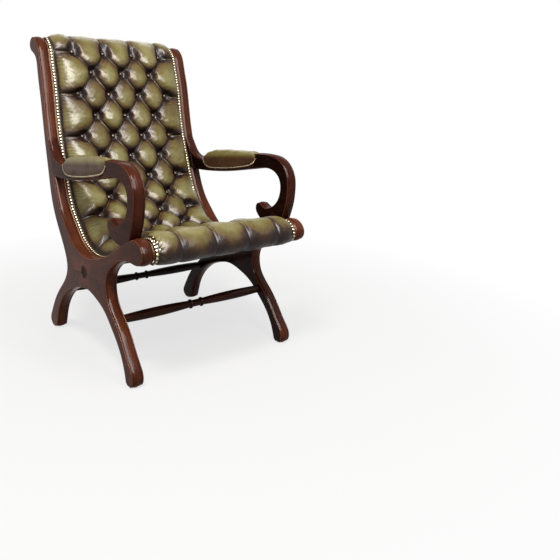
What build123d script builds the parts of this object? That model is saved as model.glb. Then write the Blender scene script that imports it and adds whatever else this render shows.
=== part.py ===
"""Deep-buttoned X-frame slipper armchair, in millimetres.

Two sawn mahogany side frames carry a sling of upholstery that runs from the rolled crest,
down the back, through the seat and over the front edge. Each side frame is four curved
members that meet at a hub, with a scroll arm on top. Z is up and the front of the chair
faces -Y. The origin is on the floor, in the middle of the chair's width and depth.
Left means the side at -X.
"""
from build123d import *
import math
import os

os.makedirs("parts", exist_ok=True)

# Main sizes
frame_width = 580
frame_depth = 820
frame_height = 995
board_thickness = 37
running_gap = 0.3
cut_overrun = 5

# Dowelled joints of the side frames
dowel_radius = 5
dowel_length = 44
dowel_clearance = 0.2

# Rosette over the hub
rosette_radius = 20
rosette_depth = 6
rosette_groove_radius = 15
rosette_groove_width = 3
rosette_groove_depth = 2
rosette_dome_radius = 10

# Feet
foot_flat_height = 3
glide_radius = 9
glide_pin_radius = 1.6
glide_pin_length = 12

# Stretchers between the legs
stretcher_radius = 15
stretcher_end_radius = 12
stretcher_waist_radius = 11
stretcher_ring_radius = 15
stretcher_ring_width = 7
stretcher_ring_spacing = 40
tenon_radius = 7
tenon_length = 16

# Layers of the upholstery, counted from the nailed edge of the leather
leather_thickness = 2
hessian_thickness = 0.8
webbing_thickness = 1.8
inner_rail_thickness = 20
inner_rail_depth = 20
panel_thickness = 1.5
nailing_margin = 11
leather_edge_gap = 3
foam_edge_inset = 8

# Deep buttoning
row_pitch = 76
row_count = 15
first_row_distance = 165
column_pitch = 115
pocket_radius = 11
pocket_dish = 0.4
button_radius = 9
button_height = 6
pleat_width = 3

# Heights of the upholstery above its nailed edge
crest_crown = 15
back_crown = 43
seat_crown = 56
front_bulge = 15
crest_pleat = 7
back_well = 20
seat_well = 32
front_pleat = 8
hem_height = 3

# Rows, counted from 1 at the crest, between which the crowns keep their height
crest_rows = (-1, -0.6, 0.7)
back_rows = (2, 7)
seat_rows = (10, 13)
front_rows = (row_count + 0.7, row_count + 1.8, row_count + 2.4)

# Shares of those heights near the ends of the buttoned field, in its pleats and at its sides
top_row_share = 0.7
roll_crown_shares = (0.8, 0.5)
roll_well_shares = (0.75, 0.4)
hem_pleat_share = 0.6
side_well_share = 0.72
side_ridge_share = 0.9
valley_share = 0.45
ridge_share = 0.88

# Rail under the lumbar fold, and rounded bars inside the crest and the front edge
lumbar_rail_depth = 44
crest_bar_radius = 20
front_bar_radius = 25

# Decorative nails
nail_radius = 4.6
nail_height = 2.8
nail_pitch = 10.8
nail_samples = 8

# Arm pads
pad_leather_thickness = 2
pad_core_width = 30
pad_nail_inset = 9
pad_edge_radius = 9

# Screws that hold the inner rails to the side frames
screw_radius = 2
screw_length = 32
screw_head_radius = 4.2
screw_head_height = 3

# Places worked out from the sizes above
half_width = frame_width / 2
inner_face = half_width - board_thickness
board_middle = half_width - board_thickness / 2
origin_shift = (front_bulge - crest_crown) / 2
side_plane = Plane.YZ.offset(-half_width)

# Side view of the frame, as shares of its depth and height
hub_share = (-0.049, 0.259)
rear_waist_share = (0.115, 0.238)
top_waist_share = (-0.071, 0.3075)
bottom_waist_share = (-0.073, 0.209)
front_waist_share = (-0.233, 0.257)
arm_joint_top_share = (0.302, 0.648)
arm_joint_bottom_share = (0.249, 0.533)
scroll_seat_rear_share = (-0.348, 0.393)
scroll_seat_front_share = (-0.409, 0.417)

stile_rear_shares = [
    (0.140, 0.295), (0.224, 0.383), (0.268, 0.445), (0.305, 0.543), (0.340, 0.645),
    (0.380, 0.781), (0.413, 0.882), (0.429, 0.923), (0.461, 0.943),
]
crest_scroll_shares = [
    (0.490, 0.955), (0.500, 0.975), (0.488, 0.991), (0.463, 0.998), (0.437, 0.989), (0.410, 0.967),
]
stile_front_shares = [(0.388, 0.920), (0.366, 0.866), (0.337, 0.761)]
lumbar_shares = [(0.222, 0.478), (0.184, 0.426), (0.123, 0.375), (0.057, 0.332), (-0.006, 0.313)]
rail_top_shares = [(-0.150, 0.320), (-0.234, 0.342), (-0.299, 0.370)]
nose_shares = [
    (-0.454, 0.4245), (-0.491, 0.407), (-0.500, 0.388), (-0.488, 0.367), (-0.454, 0.358),
]
rail_under_shares = [(-0.402, 0.359), (-0.340, 0.347), (-0.272, 0.316), (-0.239, 0.282)]
front_leg_front_shares = [(-0.248, 0.209), (-0.304, 0.163), (-0.356, 0.119), (-0.400, 0.072)]
front_leg_rear_shares = [
    (-0.349, 0.079), (-0.310, 0.115), (-0.271, 0.143), (-0.232, 0.169), (-0.148, 0.198),
]
rear_leg_rear_shares = [(0.126, 0.213), (0.187, 0.159), (0.249, 0.103), (0.290, 0.048)]
rear_leg_front_shares = [(0.212, 0.071), (0.172, 0.121), (0.096, 0.169), (-0.009, 0.201)]
front_foot_front_shares = [(-0.435, 0.028), (-0.431, 0.010)]
front_foot_rear_shares = [(-0.388, 0.009), (-0.380, 0.030)]
rear_foot_front_shares = [(0.229, 0.028), (0.237, 0.009)]
rear_foot_rear_shares = [(0.288, 0.009), (0.301, 0.022)]
front_foot_middle_share = -0.411
rear_foot_middle_share = 0.264
foot_flat_share = 0.024
outside_back_start = 2
outside_back_points = 12

# Side view of the arm
arm_cove_shares = [(0.278, 0.621), (0.248, 0.594), (0.201, 0.578), (0.143, 0.570)]
arm_top_shares = [
    (0.000, 0.593), (-0.146, 0.615), (-0.250, 0.623), (-0.317, 0.624), (-0.371, 0.616),
    (-0.416, 0.590), (-0.437, 0.556), (-0.440, 0.518), (-0.434, 0.477), (-0.421, 0.442),
]
arm_scroll_shares = [
    (-0.318, 0.396), (-0.289, 0.401), (-0.266, 0.413), (-0.249, 0.430), (-0.248, 0.447),
    (-0.260, 0.457), (-0.277, 0.455), (-0.293, 0.447),
]
arm_under_shares = [
    (-0.312, 0.444), (-0.341, 0.451), (-0.374, 0.471), (-0.393, 0.5005), (-0.396, 0.529),
    (-0.384, 0.555), (-0.354, 0.573), (-0.312, 0.580), (-0.244, 0.574), (-0.146, 0.560),
    (-0.022, 0.544), (0.104, 0.534), (0.183, 0.531),
]
pad_outline_shares = [
    (0.151, 0.576), (0.143, 0.559), (0.117, 0.546), (0.073, 0.543), (-0.024, 0.550),
    (-0.122, 0.562), (-0.189, 0.573), (-0.226, 0.586), (-0.240, 0.605), (-0.232, 0.620),
    (-0.195, 0.6265), (-0.070, 0.623), (0.049, 0.6155), (0.112, 0.605), (0.142, 0.592),
]
pad_lower_count = 8
pad_core_top_shares = [(-0.205, 0.606), (0.126, 0.582)]
pad_core_root_share = 0.003

# Where the stretchers, dowels and screws go, as shares
front_stretcher_share = (-0.276, 0.157)
rear_stretcher_share = (0.158, 0.157)
stretcher_belly_share = 0.45
rear_joint_dowel_shares = (0.45, 0.77)
front_joint_dowel_shares = (0.42, 0.75)
short_joint_dowel_share = 0.68
arm_dowel_shares = (0.13, 0.32)
back_screw_shares = (0.16, 0.36, 0.52)
seat_screw_shares = (0.76, 0.86)


def side(share):
    """A point of the side view, from shares of the frame's depth and height."""
    return (frame_depth * share[0] + origin_shift, frame_height * share[1])


def sides(shares):
    return [side(share) for share in shares]


hub = side(hub_share)
rear_waist = side(rear_waist_share)
top_waist = side(top_waist_share)
bottom_waist = side(bottom_waist_share)
front_waist = side(front_waist_share)
arm_joint_top = side(arm_joint_top_share)
arm_joint_bottom = side(arm_joint_bottom_share)
scroll_seat_rear = side(scroll_seat_rear_share)
scroll_seat_front = side(scroll_seat_front_share)


def save(part, name):
    part.label = name
    export_step(part, f"parts/{name}.step")


def save_pair(part, name):
    """Writes the left piece and its mirror image on the right."""
    save(part, f"left_{name}")
    with BuildPart() as twin:
        mirror(part, about=Plane.YZ)
    save(twin.part, f"right_{name}")


def between(start, end, share):
    return (start[0] + (end[0] - start[0]) * share, start[1] + (end[1] - start[1]) * share)


def dowel_plane(point, along):
    """Plane whose normal is the dowel's axis, in the middle of the left board."""
    return Plane(origin=(-board_middle, point[0], point[1]), z_dir=(0, along[0], along[1]))


def square_to(start, end):
    return (end[1] - start[1], start[0] - end[0])


def joint_dowels(start, end, shares):
    return [dowel_plane(between(start, end, share), square_to(start, end)) for share in shares]


rear_joint = joint_dowels(hub, rear_waist, rear_joint_dowel_shares)
front_joint = joint_dowels(hub, front_waist, front_joint_dowel_shares)
top_joint = joint_dowels(hub, top_waist, [short_joint_dowel_share])
bottom_joint = joint_dowels(hub, bottom_waist, [short_joint_dowel_share])
arm_joint = [
    dowel_plane(between(arm_joint_bottom, arm_joint_top, share), (1, 0)) for share in arm_dowel_shares
]
scroll_joint = joint_dowels(scroll_seat_rear, scroll_seat_front, [1 / 2])


def drill_dowels(planes):
    with Locations(*planes):
        Cylinder(dowel_radius + dowel_clearance, dowel_length + 2 * running_gap, mode=Mode.SUBTRACT)


def bore_hub():
    """Shallow round recess over the hub, for the rosette."""
    with Locations(side_plane.offset(rosette_depth / 2)):
        with Locations(hub):
            Cylinder(rosette_radius + dowel_clearance, rosette_depth, mode=Mode.SUBTRACT)


def bore_tenon(share):
    with Locations(Plane.YZ.offset(-inner_face)):
        with Locations(side(share)):
            Cylinder(tenon_radius + dowel_clearance, tenon_length + running_gap,
                     align=(Align.CENTER, Align.CENTER, Align.MAX), mode=Mode.SUBTRACT)


def bore_glide(foot_middle):
    with Locations((-board_middle, foot_middle, foot_flat_height)):
        Cylinder(glide_pin_radius + dowel_clearance, glide_pin_length + running_gap,
                 align=(Align.CENTER, Align.CENTER, Align.MIN), mode=Mode.SUBTRACT)


def round_edges(radius):
    """Rounds all edges of a solid across its width."""
    blank = BuildPart._get_context()
    fillet(blank.faces().filter_by(Axis.X).edges(), radius)


# Path of the leather's nailed edge, from behind the crest to under the front edge
sling_shares = (
    [stile_rear_shares[-1]] + crest_scroll_shares + stile_front_shares
    + [arm_joint_top_share, arm_joint_bottom_share]
    + lumbar_shares + [top_waist_share] + rail_top_shares
    + [scroll_seat_rear_share, scroll_seat_front_share] + nose_shares
)
crest_bar_share = (0.459, 0.969)
front_bar_share = (-0.456, 0.391)
sling_path = Spline(*[(0, *side(share)) for share in sling_shares])
last_row_distance = first_row_distance + (row_count - 1) * row_pitch
crest_distance_shares = (0.03, 0.16, 0.29, 0.42, 0.55, 0.68, 0.82)
front_distance_shares = (0.22, 0.38, 0.52, 0.65, 0.77, 0.88, 0.98)


def row_distance(row):
    """Distance along the path of a row of buttons, counted from 1 at the crest."""
    return first_row_distance + (row - 1) * row_pitch


def sling_plane(distance):
    """Cross-section plane at a distance along the path: X across, Y towards the sitter."""
    share = distance / sling_path.length
    return Plane(origin=sling_path @ share, x_dir=(1, 0, 0), z_dir=sling_path % share)


def read_off(distance, table):
    """Straight-line reading of a table of (row number, value) pairs."""
    row = 1 + (distance - first_row_distance) / row_pitch
    if row <= table[0][0]:
        return table[0][1]
    for (low, low_value), (high, high_value) in zip(table, table[1:]):
        if row <= high:
            return low_value + (high_value - low_value) * (row - low) / (high - low)
    return table[-1][1]


def height_table(hem, crest, back, seat, roll_shares, front):
    """Pairs of row number and height, from the hem behind the crest to the one under the front edge."""
    return [
        (crest_rows[0], hem), (crest_rows[1], crest), (crest_rows[2], crest),
        (1, back * top_row_share), (back_rows[0], back), (back_rows[1], back),
        (seat_rows[0], seat), (seat_rows[1], seat),
        (row_count - 1, seat * roll_shares[0]), (row_count, seat * roll_shares[1]),
        (front_rows[0], front), (front_rows[1], front), (front_rows[2], hem),
    ]


# Heights of the pillows and of the wells between them
crown_table = height_table(hem_height, crest_crown, back_crown, seat_crown, roll_crown_shares, front_bulge)
well_table = height_table(hem_height * hem_pleat_share, crest_pleat, back_well, seat_well,
                          roll_well_shares, front_pleat)


def make_stations():
    """Distance and pattern phase of every section: 1 on a row of four, 0 on a row of three."""
    stations = [(share * first_row_distance, 1, True) for share in crest_distance_shares]
    for row in range(1, row_count + 1):
        phase = row % 2
        middle = row_distance(row)
        stations.append((middle - pocket_radius, phase, False))
        stations.append((middle + pocket_radius, phase, False))
        if row < row_count:
            stations.append((middle + row_pitch / 2, 1 / 2, False))
    front_length = sling_path.length - last_row_distance
    for share in front_distance_shares:
        stations.append((last_row_distance + share * front_length, 1, True))
    return stations


stations = make_stations()
leather_half = inner_face - leather_edge_gap
margin_half = leather_half - nailing_margin
layer_half = leather_half - leather_edge_gap
foam_half = margin_half - foam_edge_inset


def pattern(distance, phase, plain):
    """Half of a cross-section, from the middle out: (inner x, outer x, end height, middle height)."""
    crown = read_off(distance, crown_table)
    well = read_off(distance, well_table)
    swell = crown - well
    reach = column_pitch * phase / 2
    first, second, third = reach, column_pitch - reach, column_pitch + reach
    if plain:
        cuts = [first - pleat_width, first + pleat_width, third - pleat_width, third + pleat_width]
        return [
            (0, cuts[0], well, crown), (cuts[0], cuts[1], well, well - pocket_dish),
            (cuts[1], cuts[2], well, crown), (cuts[2], cuts[3], well, well - pocket_dish),
            (cuts[3], margin_half, well, crown * side_ridge_share),
        ]
    if phase == 1:
        return [
            (0, first - pocket_radius, well, crown),
            (first - pocket_radius, first + pocket_radius, well, well - pocket_dish),
            (first + pocket_radius, third - pocket_radius, well, crown),
            (third - pocket_radius, third + pocket_radius, well, well - pocket_dish),
            (third + pocket_radius, margin_half, well, well * side_well_share),
        ]
    if phase == 0:
        return [
            (0, pocket_radius, well, well - pocket_dish),
            (pocket_radius, second - pocket_radius, well, crown),
            (second - pocket_radius, second + pocket_radius, well, well - pocket_dish),
            (second + pocket_radius, second + pocket_radius + pleat_width, well, well),
            (second + pocket_radius + pleat_width, margin_half, well, crown),
        ]
    valley = well + swell * valley_share
    ridge = well + swell * ridge_share
    return [
        (0, first, valley, ridge), (first, second, valley, ridge), (second, third, valley, ridge),
        (third, third + pleat_width, valley, valley),
        (third + pleat_width, margin_half, valley, ridge * side_ridge_share),
    ]


def curve(start, middle, end):
    """Arc through three points, or a straight line where they are in line."""
    sag = middle[1] - (start[1] + end[1]) / 2
    if abs(sag) < pocket_dish / 2:
        Line(start, end)
    else:
        ThreePointArc(start, middle, end)


def draw_top(station, drop, outer_x, outer_height, ease):
    """Draws the buttoned line of a section from its right end to its left end."""
    records = pattern(*station)
    for direction in (1, -1):
        order = records[:0:-1] if direction == 1 else records[1:]
        if direction == -1:
            inner, outer, end, middle = records[0]
            curve((outer, end - drop), (0, middle - drop), (-outer, end - drop))
        for inner, outer, end, middle in order:
            is_edge = outer == margin_half
            far_x = outer_x if is_edge else outer
            far_height = outer_height if is_edge else end - drop
            near = (direction * inner, end - drop)
            far = (direction * far_x, far_height)
            lowered = middle - drop - (ease if is_edge else 0)
            top = (direction * (inner + far_x) / 2, lowered)
            if direction == 1:
                curve(far, top, near)
            else:
                curve(near, top, far)


def loft_layer(chosen, low_x, high_x, low_height, high_height):
    """Layer that follows the path, between two widths and two heights."""
    sections = []
    for distance, phase, plain in chosen:
        with BuildSketch(sling_plane(distance)) as section:
            with Locations(((low_x + high_x) / 2, (low_height + high_height) / 2)):
                Rectangle(high_x - low_x, high_height - low_height)
        sections.append(section.sketch)
    loft(sections=sections, ruled=True)


def stations_between(low, high):
    return [station for station in stations if low <= station[0] <= high]


hessian_top = -leather_thickness - running_gap
webbing_top = hessian_top - hessian_thickness - running_gap
rail_top = webbing_top - webbing_thickness - running_gap
rail_bottom = rail_top - inner_rail_depth
panel_top = rail_bottom - running_gap
foam_bottom = hessian_top + running_gap
lumbar_row = 9
top_rail_start = row_distance(1) - pocket_radius
lumbar_start = row_distance(lumbar_row) + pocket_radius
lumbar_end = row_distance(lumbar_row) + row_pitch / 2
front_end = last_row_distance + pocket_radius


def loft_buttoned(chosen, drop, outer_x, outer_height, ease, closing):
    """Lofts the buttoned line along the path and closes it with the points of a lower line."""
    sections = []
    for station in chosen:
        with BuildSketch(sling_plane(station[0])) as section:
            with BuildLine():
                draw_top(station, drop, outer_x, outer_height, ease)
                Polyline(*closing)
            make_face()
        sections.append(section.sketch)
    loft(sections=sections, ruled=True)


def screw_plane(share):
    """Plane on the inner rail's inside face, looking out through the rail into the board."""
    spot = sling_plane(share * sling_path.length)
    centre = spot.from_local_coords(Vector(0, (rail_top + rail_bottom) / 2, 0))
    return Plane(origin=(inner_rail_thickness - inner_face, centre.Y, centre.Z), z_dir=(-1, 0, 0))


def bore_screws(shares):
    with Locations(*[screw_plane(share) for share in shares]):
        Cylinder(screw_radius + dowel_clearance, screw_length + running_gap,
                 align=(Align.CENTER, Align.CENTER, Align.MIN), mode=Mode.SUBTRACT)
        Cylinder(screw_head_radius + dowel_clearance, screw_head_height,
                 align=(Align.CENTER, Align.CENTER, Align.MIN), mode=Mode.SUBTRACT)


# Silhouette of a side frame, before it is divided into its members
front_foot_middle = side((front_foot_middle_share, 0))[0]
rear_foot_middle = side((rear_foot_middle_share, 0))[0]
foot_flat_half = frame_depth * foot_flat_share / 2


def draw_foot(start_share, middle, direction, end_share):
    """Flat underside of a foot, drawn from one corner to the other."""
    Polyline(side(start_share), (middle - direction * foot_flat_half, foot_flat_height),
             (middle + direction * foot_flat_half, foot_flat_height), side(end_share))


with BuildSketch() as silhouette:
    with BuildLine():
        Spline(*sides(rear_foot_rear_shares + rear_leg_rear_shares[::-1] + [rear_waist_share]
                      + stile_rear_shares + crest_scroll_shares + stile_front_shares
                      + [arm_joint_top_share]))
        Spline(*sides([arm_joint_top_share] + arm_cove_shares + arm_top_shares
                      + [scroll_seat_front_share]))
        Spline(*sides([scroll_seat_front_share] + nose_shares + rail_under_shares
                      + [front_waist_share] + front_leg_front_shares + front_foot_front_shares))
        draw_foot(front_foot_front_shares[-1], front_foot_middle, 1, front_foot_rear_shares[0])
        Spline(*sides(front_foot_rear_shares + front_leg_rear_shares + [bottom_waist_share]
                      + rear_leg_front_shares[::-1] + rear_foot_front_shares))
        draw_foot(rear_foot_front_shares[-1], rear_foot_middle, 1, rear_foot_rear_shares[0])
    make_face()
    with BuildLine():
        Spline(*sides([arm_joint_bottom_share] + lumbar_shares + [top_waist_share]
                      + rail_top_shares + [scroll_seat_rear_share]))
        Spline(*sides([scroll_seat_rear_share] + arm_scroll_shares + arm_under_shares
                      + [arm_joint_bottom_share]))
    make_face(mode=Mode.SUBTRACT)

# Corners well outside the frame, which close the members' regions
far_front = -frame_depth
far_rear = frame_depth
far_top = 2 * frame_height
far_below = -frame_height
nose_gap = (far_front, scroll_seat_front[1] + frame_depth / 2)


def make_member(region, joint_planes):
    """Saws one member out of its region of the silhouette and bores its joints and recess."""
    with BuildSketch(side_plane) as outline:
        add(silhouette.sketch)
        with BuildLine():
            Polyline(*region, close=True)
        make_face(mode=Mode.INTERSECT)
    extrude(to_extrude=outline.sketch, amount=board_thickness)
    drill_dowels(joint_planes)


# Back stile, from the hub up to the crest scroll
with BuildPart() as back_stile:
    make_member(
        [hub, rear_waist, (far_rear, rear_waist[1]), (far_rear, far_top), (arm_joint_top[0], far_top),
         arm_joint_top, arm_joint_bottom, top_waist],
        rear_joint + top_joint + arm_joint,
    )
    bore_hub()
    bore_screws(back_screw_shares)
save_pair(back_stile.part, "back_stile")

# Seat rail, from the hub forward to the nose
with BuildPart() as seat_rail:
    make_member(
        [hub, top_waist, scroll_seat_rear, scroll_seat_front, nose_gap, (far_front, front_waist[1]),
         front_waist],
        front_joint + top_joint + scroll_joint,
    )
    bore_hub()
    bore_screws(seat_screw_shares)
save_pair(seat_rail.part, "seat_rail")

# Front leg, from the hub down to the front foot
with BuildPart() as front_leg:
    make_member(
        [hub, front_waist, (far_front, front_waist[1]), (far_front, far_below),
         (bottom_waist[0], far_below), bottom_waist],
        front_joint + bottom_joint,
    )
    bore_hub()
    bore_tenon(front_stretcher_share)
    bore_glide(front_foot_middle)
save_pair(front_leg.part, "front_leg")

# Rear leg, from the hub down to the rear foot
with BuildPart() as rear_leg:
    make_member(
        [hub, bottom_waist, (bottom_waist[0], far_below), (far_rear, far_below),
         (far_rear, rear_waist[1]), rear_waist],
        rear_joint + bottom_joint,
    )
    bore_hub()
    bore_tenon(rear_stretcher_share)
    bore_glide(rear_foot_middle)
save_pair(rear_leg.part, "rear_leg")


def move_sideways(line, count, distance):
    """Points along a line of the side view, each moved to the line's left by a distance."""
    points = []
    for number in range(count):
        share = number / (count - 1)
        along = line % share
        points.append(line @ share + Vector(-along.Y, along.X) * distance)
    return points


pad_outline = Spline(*sides(pad_outline_shares), periodic=True)


def pad_face(inset):
    """Side view of the arm pad, drawn in by an inset."""
    points = move_sideways(pad_outline, len(pad_outline_shares) + 1, -inset)
    with BuildSketch(Plane.XY, mode=Mode.PRIVATE) as face:
        with BuildLine():
            Spline(*points[:-1], periodic=True)
        make_face()
    return face.sketch


def core_face(growth):
    """Side view of the wooden core inside the arm pad, with its root in the arm."""
    root = [(y, z - pad_core_root_share) for y, z in pad_outline_shares[2:pad_lower_count]]
    with BuildSketch(Plane.XY, mode=Mode.PRIVATE) as face:
        with BuildLine():
            Polyline(*sides(root + pad_core_top_shares), close=True)
        make_face()
        if growth:
            offset(amount=growth, kind=Kind.INTERSECTION)
    return face.sketch


def core_plane(width):
    return Plane.YZ.offset(-board_middle - width / 2)


# Arm, from the stile forward and down to its scroll on the seat rail
with BuildPart() as arm:
    make_member(
        [arm_joint_top, (arm_joint_top[0], far_top), (far_front, far_top), nose_gap, scroll_seat_front,
         scroll_seat_rear, top_waist, arm_joint_bottom],
        arm_joint + scroll_joint,
    )
    with BuildSketch(side_plane):
        add(pad_face(0))
    extrude(amount=board_thickness, mode=Mode.SUBTRACT)
    with BuildSketch(core_plane(pad_core_width)):
        add(core_face(0))
    extrude(amount=pad_core_width)
save_pair(arm.part, "arm")
# Stuffing of the arm pad, slotted over the core
with BuildPart() as arm_pad_foam:
    with BuildSketch(side_plane.offset(pad_leather_thickness + running_gap)):
        add(pad_face(pad_leather_thickness + 2 * running_gap))
    extrude(amount=board_thickness - 2 * (pad_leather_thickness + running_gap))
    round_edges(pad_edge_radius - pad_leather_thickness)
    with BuildSketch(core_plane(pad_core_width + 2 * running_gap)):
        add(core_face(running_gap))
    extrude(amount=pad_core_width + 2 * running_gap, mode=Mode.SUBTRACT)
save_pair(arm_pad_foam.part, "arm_pad_foam")

# Space inside the arm pad's leather
with BuildPart() as pad_hollow:
    with BuildSketch(side_plane.offset(pad_leather_thickness)):
        add(pad_face(pad_leather_thickness + running_gap))
    extrude(amount=board_thickness - 2 * pad_leather_thickness)
    round_edges(pad_edge_radius - pad_leather_thickness)

# Leather of the arm pad, open below where the core comes through
with BuildPart() as arm_pad_cover:
    with BuildSketch(side_plane):
        add(pad_face(running_gap))
    extrude(amount=board_thickness)
    round_edges(pad_edge_radius)
    add(pad_hollow.part, mode=Mode.SUBTRACT)
    with BuildSketch(core_plane(pad_core_width + 2 * running_gap)):
        add(core_face(running_gap))
    extrude(amount=pad_core_width + 2 * running_gap, mode=Mode.SUBTRACT)
pad_leather = arm_pad_cover.part.solids().sort_by(SortBy.VOLUME)[-1]
save_pair(pad_leather, "arm_pad_cover")


def dome(radius, height):
    """Cap of a ball with a flat base, standing on the plane that places it."""
    ball_radius = (radius ** 2 + height ** 2) / (2 * height)
    base_angle = math.degrees(math.asin((ball_radius - height) / ball_radius))
    Sphere(ball_radius, arc_size1=base_angle, align=(Align.CENTER, Align.CENTER, Align.MIN))


# Nails along the lower edge of the arm pad, on both of its faces
def pad_nail_planes():
    nail_line = pad_face(pad_nail_inset).face().outer_wire()
    planes = []
    count = int(nail_line.length / nail_pitch)
    for number in range(count):
        spot = nail_line @ (number / count)
        if pad_nail_line_is_low(spot):
            planes.append(Plane(origin=(-half_width, spot.X, spot.Y), z_dir=(-1, 0, 0)))
            planes.append(Plane(origin=(-inner_face, spot.X, spot.Y), z_dir=(1, 0, 0)))
    return planes


def pad_nail_line_is_low(spot):
    """True along the pad's lower edge: below the straight line between the two ends of the pad."""
    rear, front = side(pad_outline_shares[0]), side(pad_outline_shares[pad_lower_count])
    share = (spot.X - rear[0]) / (front[0] - rear[0])
    return spot.Y < rear[1] + (front[1] - rear[1]) * share


with BuildPart() as arm_pad_nails:
    with Locations(*pad_nail_planes()):
        dome(nail_radius, nail_height)
save_pair(arm_pad_nails.part, "arm_pad_nails")

# Rosette over the hub: a disc with a turned groove and a domed middle
with BuildPart() as hub_rosette:
    Cylinder(rosette_radius, rosette_depth, align=(Align.CENTER, Align.CENTER, Align.MIN))
    with BuildSketch(Plane.XZ):
        with Locations((rosette_groove_radius, rosette_depth)):
            Rectangle(rosette_groove_width, 2 * rosette_groove_depth)
        with Locations((0, rosette_depth)):
            Rectangle(rosette_dome_radius, 2 * rosette_groove_depth, align=(Align.MIN, Align.CENTER))
    revolve(axis=Axis.Z, mode=Mode.SUBTRACT)
    with Locations((0, 0, rosette_depth - rosette_groove_depth)):
        dome(rosette_dome_radius - rosette_groove_width / 2, rosette_groove_depth)
rosette_plane = Plane(origin=(rosette_depth - half_width, *hub), z_dir=(-1, 0, 0))
with BuildPart() as placed_rosette:
    add(rosette_plane * hub_rosette.part)
save_pair(placed_rosette.part, "hub_rosette")

# Dowels of both side frames, as one group of separate solids
all_joints = rear_joint + front_joint + top_joint + bottom_joint + arm_joint + scroll_joint
with BuildPart() as frame_dowels:
    with Locations(*all_joints):
        Cylinder(dowel_radius, dowel_length)
    mirror(about=Plane.YZ)
save(frame_dowels.part, "frame_dowels")

# Glides under the four feet, each with its pin
with BuildPart() as foot_glides:
    with Locations((-board_middle, front_foot_middle), (-board_middle, rear_foot_middle)):
        Cylinder(glide_radius, foot_flat_height, align=(Align.CENTER, Align.CENTER, Align.MIN))
        Cylinder(glide_pin_radius, foot_flat_height + glide_pin_length,
                 align=(Align.CENTER, Align.CENTER, Align.MIN))
    mirror(about=Plane.YZ)
save(foot_glides.part, "foot_glides")


def stretcher_outline():
    """Half of a turned stretcher: a collar between two rings, then a belly, and a tenon at the end."""
    ring_start = (stretcher_ring_spacing - stretcher_ring_width) / 2
    ring_end = ring_start + stretcher_ring_width
    belly = ring_end + (inner_face - ring_end) * stretcher_belly_share
    Polyline((0, 0), (0, stretcher_waist_radius), (ring_start, stretcher_waist_radius))
    ThreePointArc((ring_start, stretcher_waist_radius), (stretcher_ring_spacing / 2, stretcher_ring_radius),
                  (ring_end, stretcher_waist_radius))
    Spline((ring_end, stretcher_waist_radius), (belly, stretcher_radius), (inner_face, stretcher_end_radius))
    Polyline((inner_face, stretcher_end_radius), (inner_face, tenon_radius),
             (inner_face + tenon_length, tenon_radius), (inner_face + tenon_length, 0), (0, 0))


for name, share in (("front_stretcher", front_stretcher_share), ("rear_stretcher", rear_stretcher_share)):
    with BuildPart() as stretcher:
        with BuildSketch(Plane(origin=(0, *side(share)), x_dir=(1, 0, 0), z_dir=(0, -1, 0))):
            with BuildLine():
                stretcher_outline()
            make_face()
        revolve(axis=Axis((0, *side(share)), (1, 0, 0)))
        mirror(about=Plane.YZ)
    save(stretcher.part, name)

# Round bars inside the crest and the front edge
for name, share, radius in (("crest_bar", crest_bar_share, crest_bar_radius),
                            ("front_bar", front_bar_share, front_bar_radius)):
    with BuildPart() as bar:
        with BuildSketch(Plane.YZ):
            with Locations(side(share)):
                Circle(radius)
        extrude(amount=inner_face, both=True)
    save(bar.part, name)

# Inner rails, the grounds that the webbing is tacked to
for name, start, end, shares in (("back_inner_rail", top_rail_start, lumbar_start, back_screw_shares),
                                 ("seat_inner_rail", lumbar_end, front_end, seat_screw_shares)):
    with BuildPart() as inner_rail:
        loft_layer(stations_between(start, end), -inner_face, inner_rail_thickness - inner_face,
                   rail_bottom, rail_top)
        bore_screws(shares)
    save_pair(inner_rail.part, name)

# Lumbar rail across the chair, between the back and the seat
with BuildPart() as lumbar_rail:
    loft_layer(stations_between(lumbar_start, lumbar_end), -inner_face, inner_face,
               rail_top - lumbar_rail_depth, rail_top)
save(lumbar_rail.part, "lumbar_rail")

# Screws through the inner rails, with countersunk heads
with BuildPart() as frame_screws:
    with Locations(*[screw_plane(share) for share in back_screw_shares + seat_screw_shares]):
        Cylinder(screw_radius, screw_length, align=(Align.CENTER, Align.CENTER, Align.MIN))
        Cylinder(screw_head_radius, screw_head_height, align=(Align.CENTER, Align.CENTER, Align.MIN))
    mirror(about=Plane.YZ)
save(frame_screws.part, "frame_screws")

# Webbing straps, one between each row of buttons and the next
for name, rows in (("back_webbing", range(1, lumbar_row + 1)),
                   ("seat_webbing", range(lumbar_row + 1, row_count))):
    with BuildPart() as webbing:
        for row in rows:
            start = row_distance(row) + pocket_radius
            end = row_distance(row + 1) - pocket_radius
            loft_layer(stations_between(start, end), -layer_half, layer_half,
                       webbing_top - webbing_thickness, webbing_top)
    save(webbing.part, name)

# Hessian over the webbing
with BuildPart() as hessian_lining:
    loft_layer(stations_between(top_rail_start, front_end), -layer_half, layer_half,
               hessian_top - hessian_thickness, hessian_top)
save(hessian_lining.part, "hessian_lining")

# Dust cover under the seat
with BuildPart() as dust_cover:
    loft_layer(stations_between(lumbar_end, front_end), -inner_face, inner_face,
               panel_top - panel_thickness, panel_top)
save(dust_cover.part, "dust_cover")

# Outside back cover, from the hem behind the crest to the lumbar rail
outside_line = Spline(*sides(stile_rear_shares[outside_back_start:]))
with BuildPart() as outside_back_cover:
    with BuildSketch(side_plane.offset(board_thickness)):
        with BuildLine():
            outer = Spline(*move_sideways(outside_line, outside_back_points, 0))
            inner = Spline(*move_sideways(outside_line, outside_back_points, panel_thickness))
            Line(outer @ 0, inner @ 0)
            Line(outer @ 1, inner @ 1)
        make_face()
    extrude(amount=2 * inner_face)
save(outside_back_cover.part, "outside_back_cover")

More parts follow.
